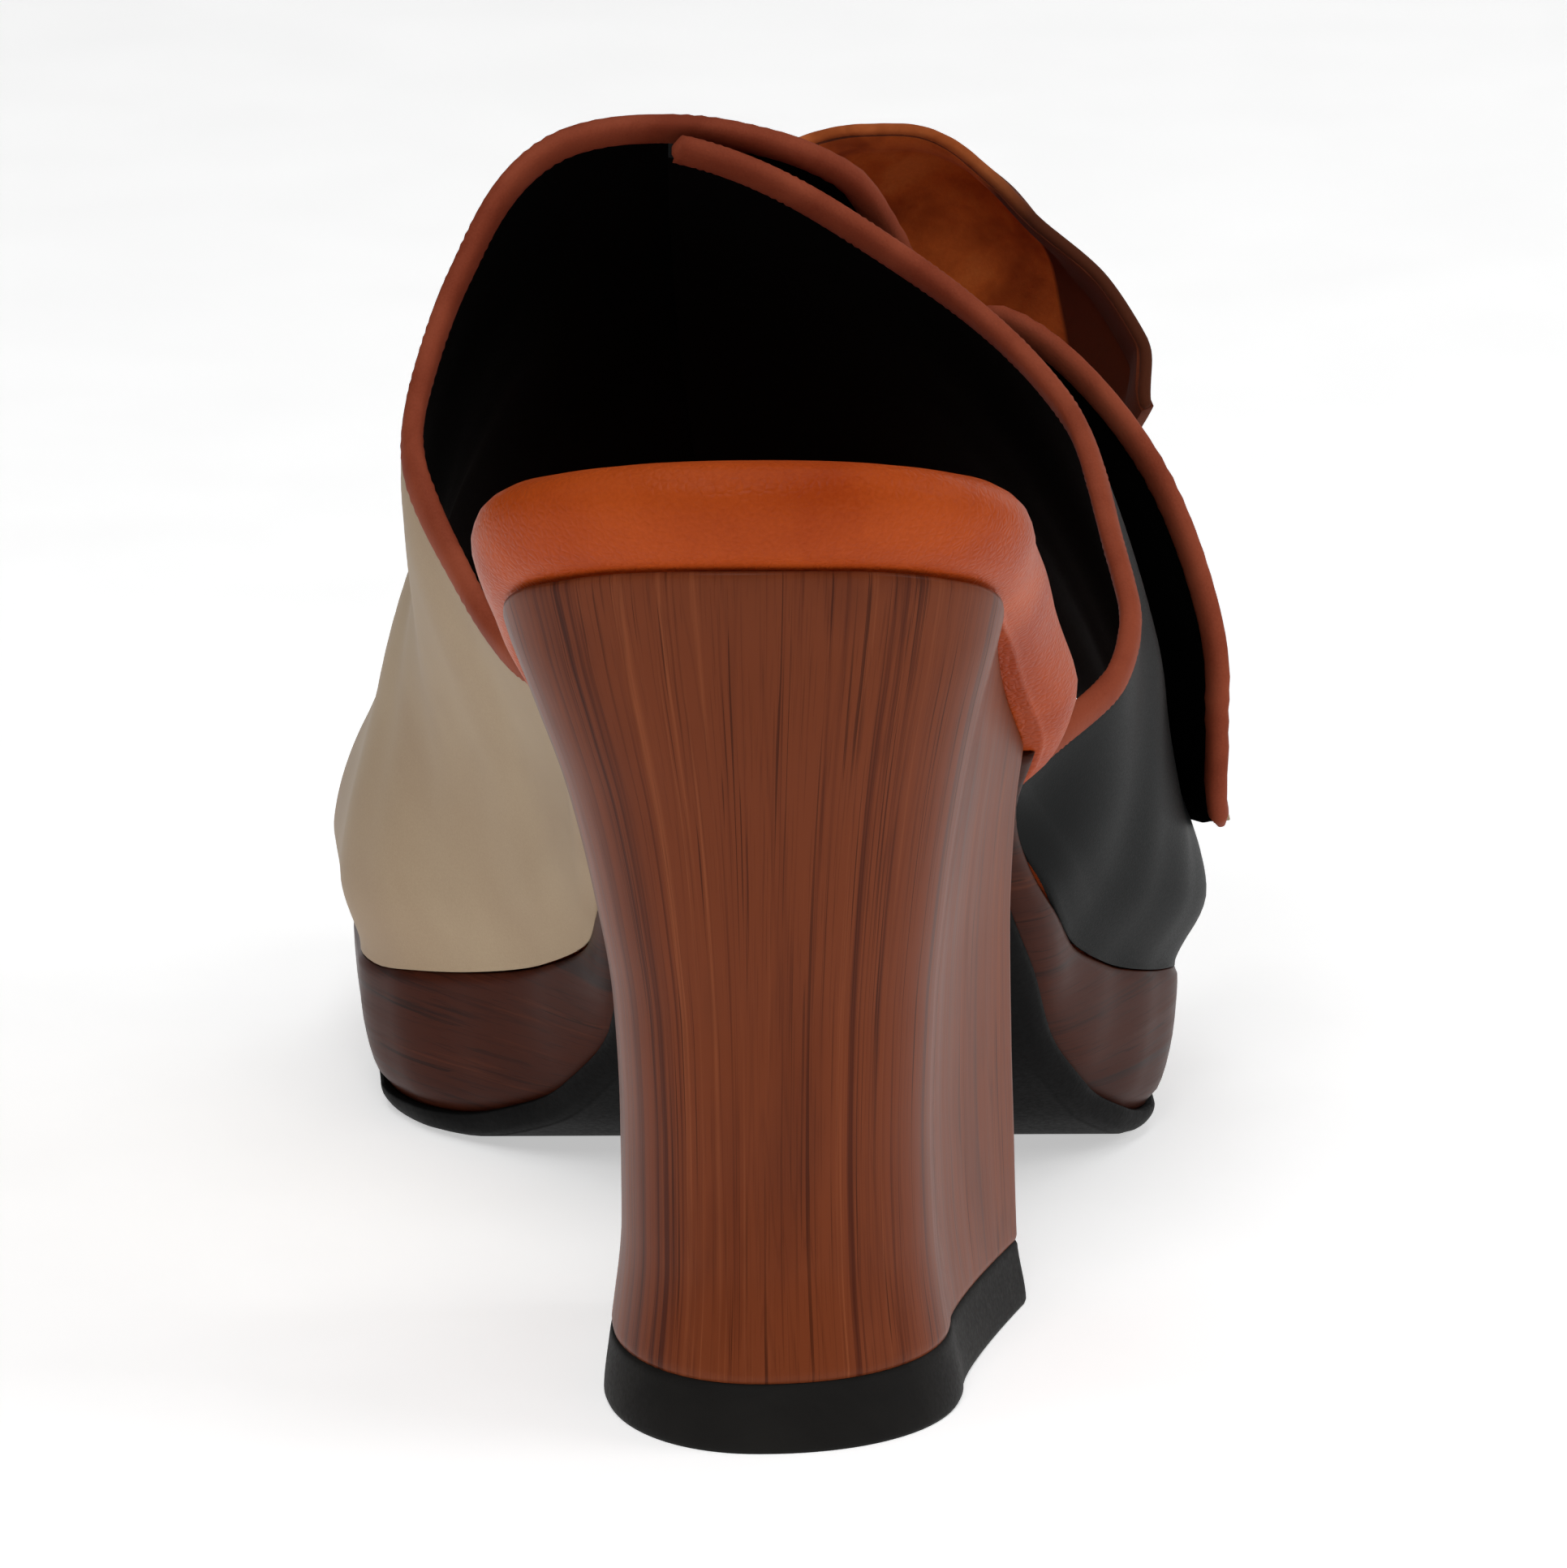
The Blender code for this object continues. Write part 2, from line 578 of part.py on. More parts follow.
def heel_stations(straight):
    """Shares along the heel: close together round the back, even up to the breast."""
    turn = HEEL_SHOULDER * (1 - np.cos(np.linspace(0, math.pi / 2, 10)))
    return np.concatenate([turn, np.linspace(HEEL_SHOULDER, 1, straight)[1:]])


def make_heel():
    """Block heel: wide at the seat, waisted, flat breast, top cut to the seat's slope."""
    share = heel_stations(8)
    foot = LIFT_HEIGHT + CLEARANCE
    top = np.full_like(share, SEAT_HEIGHT)
    for _ in range(40):
        y = heel_back(top) + (breast_y() - heel_back(top)) * share
        top = 0.5 * top + 0.5 * bed(y)
    rings = []
    for level in HEEL_LEVELS:
        rings.append(heel_edge(share, foot + (top - foot) * level))
    return stack("heel", rings)


def make_top_lift():
    """Rubber lift of the heel's own outline."""
    share = heel_stations(5)
    rings = []
    for z in (LIFT_HEIGHT, LIFT_HEIGHT * 0.5, 0.0):
        rings.append(heel_edge(share, np.full_like(share, z)))
    return stack("top_lift", rings)


def make_upper(cutters):
    """Hollow upper: the wrapped panel joined over the lateral panel."""
    wrap = sheet_wall("upper", wrap_sheet, 46, 13, UPPER_WALL, FOOT_CROWDING)
    side = sheet_wall("lateral_panel", side_sheet, 28, 13, UPPER_WALL, FOOT_CROWDING)
    side.hide_render = True
    side.display_type = "WIRE"
    cutters.objects.link(side)
    join = wrap.modifiers.new("lateral_panel", "BOOLEAN")
    join.operation = "UNION"
    join.object = side
    join.solver = "EXACT"
    return wrap


def make_collar_binding():
    """Rolled edge along the wrapped panel's rear edge and its flap."""
    u = np.linspace(0.1, BINDING_END, 62) ** FOOT_CROWDING
    return edge_rod("collar_binding", wrap_sheet, u, UPPER_WALL)


def make_lateral_binding():
    """Rolled edge along the lateral panel's rear edge, ending inside the wrapped panel."""
    u = np.linspace(0.1, BINDING_END, 40) ** FOOT_CROWDING
    return edge_rod("lateral_binding", side_sheet, u, UPPER_WALL)


def make_petal():
    """Standing petal: a cupped leaf on the lateral side of the vamp."""
    return sheet_wall("petal", petal_sheet, 20, 10, PETAL_WALL)


def make_petal_binding():
    """Rolled rim of the petal."""
    u = np.linspace(1 - BINDING_END, BINDING_END, 28)
    return edge_rod("petal_binding", petal_sheet, u, PETAL_WALL, foot=False)


FINISHES = dict(
    wood=((0.13, 0.035, 0.015, 1), 0.25),
    black_rubber=((0.006, 0.006, 0.006, 1), 0.6),
    cognac=((0.38, 0.08, 0.025, 1), 0.45),
    beige=((0.45, 0.37, 0.27, 1), 0.5),
    rust=((0.28, 0.07, 0.04, 1), 0.5),
    suede=((0.30, 0.10, 0.03, 1), 0.9),
)


def finish(name):
    """Principled material of a named finish."""
    colour, roughness = FINISHES[name]
    material = bpy.data.materials.new(name)
    material.use_nodes = True
    shader = material.node_tree.nodes["Principled BSDF"]
    shader.inputs["Base Color"].default_value = colour
    shader.inputs["Roughness"].default_value = roughness
    shader.inputs["Metallic"].default_value = 0.0
    return material


def main():
    """Clear the scene and build each sub-part."""
    for item in list(bpy.data.objects):
        bpy.data.objects.remove(item)
    parts = bpy.data.collections.new("platform_sandal")
    cutters = bpy.data.collections.new("cutters")
    bpy.context.scene.collection.children.link(parts)
    bpy.context.scene.collection.children.link(cutters)
    pieces = (
        (make_outsole(), "black_rubber"),
        (make_platform(), "wood"),
        (make_heel(), "wood"),
        (make_top_lift(), "black_rubber"),
        (make_footbed(), "cognac"),
        (make_upper(cutters), "beige"),
        (make_collar_binding(), "rust"),
        (make_lateral_binding(), "rust"),
        (make_petal(), "suede"),
        (make_petal_binding(), "rust"),
    )
    ground = bpy.data.objects.new("ground", None)
    ground.location = (0.0, -TREAD_MIDDLE * SOLE_LENGTH, 0.0)
    parts.objects.link(ground)
    for item, look in pieces:
        item.data.materials.append(finish(look))
        item.parent = ground
        parts.objects.link(item)
    for item in cutters.objects:
        item.parent = ground


main()
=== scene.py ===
"""Dressed open-toe platform mule with a tall block heel, right shoe.

Frame: metres, +Z up, floor at z = 0, toe along +Y, lateral side at +X. The shape
functions measure y from the seat's rearmost point, and Last.place brings them home.
"""

import logging
import math
from dataclasses import dataclass, field
from enum import Enum
from typing import Callable

import bmesh
import bpy
import numpy as np
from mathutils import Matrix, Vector


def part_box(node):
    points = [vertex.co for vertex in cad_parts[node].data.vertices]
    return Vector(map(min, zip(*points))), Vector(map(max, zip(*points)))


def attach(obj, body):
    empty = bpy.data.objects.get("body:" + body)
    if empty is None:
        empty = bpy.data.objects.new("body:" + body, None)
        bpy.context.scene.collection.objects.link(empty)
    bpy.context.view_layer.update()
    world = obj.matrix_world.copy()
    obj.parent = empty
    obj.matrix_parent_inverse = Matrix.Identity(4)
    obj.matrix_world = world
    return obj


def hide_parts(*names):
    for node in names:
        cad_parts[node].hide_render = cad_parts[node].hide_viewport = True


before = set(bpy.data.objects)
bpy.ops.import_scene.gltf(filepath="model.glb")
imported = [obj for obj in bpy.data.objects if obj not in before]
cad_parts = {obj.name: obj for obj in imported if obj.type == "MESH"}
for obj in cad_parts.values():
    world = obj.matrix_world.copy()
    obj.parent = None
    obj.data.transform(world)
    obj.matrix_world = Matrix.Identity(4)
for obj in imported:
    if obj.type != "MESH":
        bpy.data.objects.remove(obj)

MM = 0.001
LOG = logging.getLogger("platform_mule")
Line = Callable[[np.ndarray], np.ndarray]
Shape = Callable[[np.ndarray, np.ndarray], np.ndarray]
Sheet = Callable[[np.ndarray, np.ndarray, np.ndarray], np.ndarray]
Colour = tuple[float, float, float, float]
Place = tuple[float, float, float]
Socket = bpy.types.NodeSocket
Value = float | tuple | Socket


class Grain(Enum):
    """Direction in which a wood's figure runs."""

    UP = "up"
    ALONG = "along"


def smooth(value: np.ndarray) -> np.ndarray:
    """Zero below 0, one above 1, level at both ends."""
    value = np.clip(value, 0.0, 1.0)
    return value * value * (3 - 2 * value)


def unit(vectors: np.ndarray) -> np.ndarray:
    """Vectors of length one."""
    return vectors / np.linalg.norm(vectors, axis=-1, keepdims=True)


def paint(red: int, green: int, blue: int) -> Colour:
    """Colour for a shader from the values that an eye reads off a swatch.

    Args:
        red: red, 0 to 255.
        green: green, 0 to 255.
        blue: blue, 0 to 255.

    Returns:
        The same colour in linear light.
    """
    light = [((value / 255 + 0.055) / 1.055) ** 2.4 if value > 10 else value / 255 / 12.92
             for value in (red, green, blue)]
    return (light[0], light[1], light[2], 1.0)


@dataclass(frozen=True)
class Curve:
    """Smooth monotone curve through a few named points."""

    at: tuple[float, ...]
    value: tuple[float, ...]

    def __call__(self, where: np.ndarray) -> np.ndarray:
        """Read the curve.

        Args:
            where: places along the curve.

        Returns:
            The value at each place.
        """
        x, y = np.array(self.at, float), np.array(self.value, float)
        step = np.diff(x)
        slope = np.diff(y) / step
        grade = np.zeros_like(y)
        for i in range(1, len(x) - 1):
            if slope[i - 1] * slope[i] > 0:
                first = 2 * step[i] + step[i - 1]
                last = step[i] + 2 * step[i - 1]
                grade[i] = (first + last) / (first / slope[i - 1] + last / slope[i])
        where = np.clip(np.asarray(where, float), x[0], x[-1])
        i = np.clip(np.searchsorted(x, where, side="right") - 1, 0, len(step) - 1)
        t, h = (where - x[i]) / step[i], step[i]
        return (y[i] * (1 + 2 * t) * (1 - t) ** 2 + grade[i] * h * t * (1 - t) ** 2
                + y[i + 1] * t * t * (3 - 2 * t) + grade[i + 1] * h * t * t * (t - 1))


@dataclass(frozen=True)
class SoftStep:
    """Zero up to a start and one from a reach beyond it; a reach below zero turns it round."""

    start: float
    reach: float

    def __call__(self, where: np.ndarray) -> np.ndarray:
        """Height of the step at each place."""
        return smooth((where - self.start) / self.reach)


@dataclass(frozen=True)
class Swell:
    """One soft rise about a place, or a dip where its height is below zero."""

    at: float
    width: float
    height: float

    def __call__(self, where: np.ndarray) -> np.ndarray:
        """Height of the swell at each place."""
        return self.height * np.exp(-((where - self.at) / self.width) ** 2)


@dataclass(frozen=True)
class Crease:
    """One soft trough or ridge, placed on a panel.

    Attributes:
        around: place across the foot, 0 medial edge, 1 crest, 2 lateral edge.
        along: place along the sole, as a share of its length.
        turn: direction of the fold, degrees from the sole's length.
        reach: half length of the fold, metres.
        width: half width of the fold, metres.
        depth: height of the fold above the leather, metres; below zero is a trough.
    """

    around: float
    along: float
    turn: float
    reach: float
    width: float
    depth: float


STATIONS = (0.00, 0.12, 0.21, 0.28, 0.345, 0.405, 0.46, 0.515, 0.57, 0.62, 0.67, 0.76, 1.00)
RISE_STATIONS = (0.00, 0.055, 0.115, 0.185, 0.257, 0.303, 0.367, 0.422, 0.486, 0.541, 0.596, 0.645, 1.00)
CREST_STATIONS = (0.30, 0.43, 0.55, 0.60, 0.665, 0.74, 0.82, 0.90, 1.00)
HEEL_STATIONS = (0.00, 0.073, 0.19, 0.31, 0.44, 0.56, 0.69, 0.78, 0.875, 1.00)


@dataclass(frozen=True)
class Last:
    """The foot's form that every piece follows."""

    back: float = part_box("footbed")[0].y
    length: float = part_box("footbed")[1].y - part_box("footbed")[0].y
    seat_height: float = 96 * MM
    platform_height: float = 18 * MM
    toe_spring: float = 6.5 * MM
    spring_start: float = 0.86
    seat_width: float = 60 * MM
    ball_width: float = 86 * MM
    outsole: float = 2.8 * MM
    wedge_tip: float = 0.8 * MM
    gap: float = 0.3 * MM
    footbed_seat: float = 10.5 * MM
    undercut: float = 3.6 * MM
    bed_gap: float = 0.8 * MM
    instep_height: float = 112.5 * MM
    toe_opening_height: float = 56 * MM
    upper_wall: float = 1.8 * MM
    medial_bulge: float = 2.4 * MM
    lateral_bulge: float = 4.0 * MM
    bulge_height: float = 9 * MM
    arch_lean: float = 19 * MM
    arch_lean_height: float = 60 * MM
    side_lean: float = 10 * MM
    side_lean_height: float = 36 * MM
    seam: float = 0.1 * MM
    seat_lip: float = 1.2 * MM
    seat_step: SoftStep = SoftStep(0.14, 0.14)
    fore_step: SoftStep = SoftStep(0.36, 0.16)
    waist_step: SoftStep = SoftStep(0.64, -0.15)
    bulge_drop: float = 0.85
    bulge_step: SoftStep = SoftStep(1.0, 2.4)
    held_share: float = 0.38
    tip_inset: float = 3.2 * MM
    tip_step: SoftStep = SoftStep(0.44, -0.10)
    flank: Swell = Swell(0.300, 0.06, 1.3 * MM)
    nip: Swell = Swell(0.25, 0.10, 2.0 * MM)
    hollow: float = 4.5 * MM
    hollow_start: SoftStep = SoftStep(0.315, 0.05)
    hollow_end: SoftStep = SoftStep(0.41, 0.08)
    medial: Curve = Curve(
        STATIONS, (.500, .500, .470, .385, .280, .210, .192, .240, .337, .430, .470, .465, .465))
    lateral: Curve = Curve(
        STATIONS, (.475, .478, .500, .502, .442, .412, .405, .437, .492, .527, .525, .505, .500))
    centre: Curve = Curve((0.0, 0.62, 0.67, 0.76, 1.0), (0.0, 0.0, -0.002, -0.02, -0.055))
    fore: Curve = Curve((0.0, 0.12, 0.21, 0.28, 0.345, 0.405, 0.46, 0.515, 0.57, 1.0),
                        (0.0, 0.0, 0.08, 0.22, 0.42, 0.64, 0.82, 0.94, 1.0, 1.0))
    rise: Curve = Curve(
        RISE_STATIONS, (1.0, .954, .883, .780, .632, .533, .377, .241, .123, .060, .021, 0.0, 0.0))
    full: Curve = Curve(RISE_STATIONS, (0.0, 0.0, 0.0, 0.0, 0.0, 0.0, .03, .14, .43, .73, .95, 1.0, 1.0))
    crest_high: Curve = Curve(CREST_STATIONS, (1.75, 1.38, 1.00, 0.81, 0.57, 0.30, 0.00, -0.20, -0.40))
    crest_side: Curve = Curve(CREST_STATIONS, (-.09, -.10, -.10, -.095, -.085, -.065, -.05, -.045, -.04))
    round_in: Curve = Curve(CREST_STATIONS, (3.0, 3.0, 2.8, 2.4, 2.25, 2.2, 2.2, 2.2, 2.2))
    round_out: Curve = Curve(CREST_STATIONS, (2.0, 2.06, 1.96, 1.87, 1.9, 2.0, 2.1, 2.2, 2.2))
    seat_cap: float = 0.125
    seat_power: float = 2.2
    toe_cap: float = 0.30
    toe_power: float = 2.3

    def place(self, points: np.ndarray) -> np.ndarray:
        """Bring points measured from the seat's back to the shoe's frame."""
        return points + np.array([0.0, self.back, 0.0])

    def spring(self, y: np.ndarray) -> np.ndarray:
        """Rise of the toe above the flat tread."""
        start = self.spring_start * self.length
        return self.toe_spring * np.clip((y - start) / (self.length - start), 0.0, None) ** 2

    def bed(self, y: np.ndarray) -> np.ndarray:
        """Height of the wood's top face."""
        rise = (self.seat_height - self.platform_height) * self.rise(y / self.length)
        return self.platform_height + rise + self.spring(y)

    def seat_line(self, y: np.ndarray) -> np.ndarray:
        """Height where the footbed's leather ends on the heel."""
        return self.bed(y) - self.seat_lip * (1 - self.seat_step(y / self.length))

    def tread(self, y: np.ndarray) -> np.ndarray:
        """Height of the outsole's lower face."""
        under = self.bed(y) - self.spring(y) - self.wedge_tip - self.outsole - self.gap
        return (1 - self.full(y / self.length)) * under + self.spring(y)

    def wood_bottom(self, y: np.ndarray) -> np.ndarray:
        """Height of the platform's lower face."""
        return self.tread(y) + self.outsole

    def side_reach(self, y: np.ndarray) -> tuple[np.ndarray, np.ndarray, np.ndarray]:
        """Plan of the footbed without its round ends.

        Args:
            y: lengths from the seat's back.

        Returns:
            The centre line, and the reach to the medial and to the lateral side.
        """
        share = y / self.length
        fore = self.fore(share)
        width = self.seat_width * (1 - fore) + self.ball_width * fore
        return self.ball_width * self.centre(share), self.medial(share) * width, self.lateral(share) * width

    def fore_share(self, y: np.ndarray) -> np.ndarray:
        """Zero at the waist, one at the ball."""
        return self.fore_step(y / self.length)

    def ledge(self, y: np.ndarray) -> np.ndarray:
        """How far the upper's inner foot stands outside the footbed."""
        fore = self.fore_share(y)
        return self.bed_gap * fore - (self.undercut - 2 * self.bed_gap) * (1 - fore)

    def wood_edge(self, y: np.ndarray) -> np.ndarray:
        """How far the wood's top edge stands outside the footbed."""
        drawn_in = self.tip_inset * self.tip_step(y / self.length)
        return self.ledge(y) + self.upper_wall + self.gap - drawn_in

    def outline(self, share: np.ndarray, inset: np.ndarray, start: float | None,
                ) -> tuple[np.ndarray, np.ndarray, np.ndarray]:
        """Edges of the plan, drawn in.

        Args:
            share: place from the first to the last station, 0 to 1.
            inset: how far the edge is drawn in.
            start: length where a flat back stands; None for the footbed's round seat.

        Returns:
            The medial edge, the lateral edge and the length of each place.
        """
        wood = start is not None
        first = start if wood else inset
        stop = self.length - inset + (self.wood_edge(np.float64(self.length)) if wood else 0.0)
        y = first + (stop - first) * share
        centre, medial, lateral = self.side_reach(y)
        if wood:
            medial, lateral = medial + self.wood_edge(y), lateral + self.wood_edge(y)
        ahead = (y - inset) / (stop - inset)
        toe = np.clip((ahead - 1 + self.toe_cap) / self.toe_cap, 0.0, 1.0)
        cap = np.sqrt(1 - toe ** self.toe_power)
        if not wood:
            along = y / self.length
            hollow = self.hollow_start(along) * (1 - self.hollow_end(along))
            lateral = lateral + self.flank(along) - self.hollow * hollow
            medial = medial - self.nip(along)
            seat = np.clip(1 - ahead / self.seat_cap, 0.0, 1.0)
            cap = cap * (1 - seat ** self.seat_power) ** (1 / self.seat_power)
        return centre - (medial - inset) * cap, centre + (lateral - inset) * cap, y

    def foot_point(self, around: np.ndarray, y: np.ndarray) -> np.ndarray:
        """Inner face of the upper.

        Args:
            around: 0 at the medial feather line, 1 at the crest, 2 at the lateral one.
            y: lengths from the seat's back.

        Returns:
            The points, one row each.
        """
        share = y / self.length
        centre, medial, lateral = self.side_reach(y)
        crest_x = self.ball_width * self.crest_side(share)
        base = self.bed(y) + self.gap
        room = self.instep_height - self.toe_opening_height
        crest = self.toe_opening_height + room * self.crest_high(share)
        inner = around <= 1
        roundness = np.where(inner, self.round_in(share), self.round_out(share))
        climb = math.pi / 2 * np.clip(np.where(inner, around, 2 - around), 0.0, 1.0) ** (roundness / 2)
        out = np.clip(np.cos(climb), 0.0, 1.0) ** (2 / roundness)
        z = base + (crest - base) * np.clip(np.sin(climb), 0.0, 1.0) ** (2 / roundness)
        above = z - base
        level = above / self.bulge_height
        swell = smooth(level) * (1 - self.bulge_drop * self.bulge_step(level)) * self.fore_share(y)
        held = 1 - np.clip(above / (self.held_share * self.footbed_seat), 0.0, 1.0)
        tuck = self.bed_gap + (self.ledge(y) - self.bed_gap) * held
        waist = self.waist_step(share)
        reach = np.where(inner, centre - medial, centre + lateral)
        bulge = np.where(inner, -self.medial_bulge, self.lateral_bulge) * swell
        medial_lean = self.arch_lean * smooth(above / self.arch_lean_height)
        lateral_lean = self.side_lean * smooth(above / self.side_lean_height)
        leaned = np.where(inner, -medial_lean, lateral_lean) * waist
        drawn = np.where(inner, -tuck, tuck)
        x = crest_x + (reach - crest_x + drawn + bulge + leaned) * out
        return np.stack(np.broadcast_arrays(x, y, z), -1)

    def foot_normal(self, around: np.ndarray, y: np.ndarray) -> np.ndarray:
        """Outward direction of foot_point.

        Args:
            around: places across the foot, as for foot_point.
            y: lengths from the seat's back.

        Returns:
            The directions, one row each.
        """
        turn, step = 0.004, 0.5 * MM
        near = np.clip(around, turn, 2 - turn)
        across = self.foot_point(near + turn, y) - self.foot_point(near - turn, y)
        forward = self.foot_point(near, y + step) - self.foot_point(near, y - step)
        return unit(np.cross(across, forward))

    def over_foot(self, around: np.ndarray, y: np.ndarray, off: np.ndarray) -> np.ndarray:
        """Points at a distance outside foot_point, never below the wood.

        Args:
            around: places across the foot, as for foot_point.
            y: lengths from the seat's back.
            off: distance from the inner face.

        Returns:
            The points, one row each.
        """
        point = self.foot_point(around, y) + self.foot_normal(around, y) * np.asarray(off)[..., None]
        point[..., 2] = np.maximum(point[..., 2], self.bed(point[..., 1]) + self.seam)
        return point


class Workshop:
    """Turns a shape function into a finished mesh object."""

    MERGE = 0.002 * MM
    EDGE_ANGLE = math.radians(50)

    @staticmethod
    def mould(name: str, columns: int, rows: int, shape: Shape, closed: bool = False) -> bpy.types.Object:
        """Lay a grid over a shape.

        Args:
            name: name of the piece.
            columns: faces along u.
            rows: faces along v.
            shape: points from u and v, both 0 to 1.
            closed: whether the ends are filled, for a tube or a solid.

        Returns:
            The piece, linked and with its faces pointing out.
        """
        mesh = bmesh.new()
        mesh.loops.layers.uv.new("panel")
        bmesh.ops.create_grid(mesh, x_segments=columns, y_segments=rows, size=0.5, calc_uvs=True)
        places = np.array([vertex.co[:2] for vertex in mesh.verts]) + 0.5
        for vertex, point in zip(mesh.verts, shape(places[:, 0], places[:, 1])):
            vertex.co = point
        bmesh.ops.remove_doubles(mesh, verts=mesh.verts, dist=Workshop.MERGE)
        if closed:
            rim = [edge for edge in mesh.edges if edge.is_boundary]
            bmesh.ops.holes_fill(mesh, edges=rim, sides=0)
        bmesh.ops.recalc_face_normals(mesh, faces=mesh.faces)
        return Workshop.finish(name, mesh)

    @staticmethod
    def finish(name: str, mesh: bmesh.types.BMesh) -> bpy.types.Object:
        """Make an object of a mesh and link it.

        Args:
            name: name of the piece.
            mesh: its mesh, which is freed.

        Returns:
            The object, linked and shaded smooth.
        """
        data = bpy.data.meshes.new(name)
        mesh.to_mesh(data)
        mesh.free()
        data.shade_smooth()
        piece = bpy.data.objects.new(name, data)
        bpy.context.scene.collection.objects.link(piece)
        return piece

    @staticmethod
    def dress(piece: bpy.types.Object, slot: str, *materials: bpy.types.Material) -> None:
        """Give a piece its materials and tie it to the frame.

        Args:
            piece: the piece.
            slot: the record's material slot; not used.
            materials: face, then lining and edge where it has them.
        """
        for material in materials:
            piece.data.materials.append(material)
        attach(piece, "root")
        LOG.info("%s: %d faces", piece.name, len(piece.data.polygons))

    @staticmethod
    def thicken(piece: bpy.types.Object, wall: float, edge_round: float = 0.0) -> None:
        """Give a sheet its wall inwards, with its lining and edge as further materials.

        Args:
            piece: the sheet.
            wall: its thickness.
            edge_round: radius of its edges; 0 leaves them sharp.
        """
        wall_modifier = piece.modifiers.new("wall", "SOLIDIFY")
        wall_modifier.thickness = wall
        wall_modifier.offset = -1
        wall_modifier.material_offset = 1
        wall_modifier.material_offset_rim = 2
        if edge_round:
            soften = piece.modifiers.new("soft edge", "BEVEL")
            soften.width = edge_round
            soften.segments = 3
            soften.limit_method = "ANGLE"
            soften.angle_limit = Workshop.EDGE_ANGLE

    @staticmethod
    def rod(centre: np.ndarray, out: np.ndarray, normal: np.ndarray, wide: np.ndarray,
            high: np.ndarray, turn: np.ndarray, power: float = 0.8) -> np.ndarray:
        """Skin of a rod.

        Args:
            centre: middle of the rod at each point.
            out: direction of its width.
            normal: direction of its height.
            wide: half width.
            high: half height.
            turn: place round the rod, 0 to 1.
            power: below 1 pushes the section towards a square.

        Returns:
            The points of the skin.
        """
        angle = 2 * math.pi * turn
        side, top = (np.sign(part) * np.abs(part) ** power for part in (np.cos(angle), np.sin(angle)))
        return centre + out * (wide * side)[:, None] + normal * (high * top)[:, None]


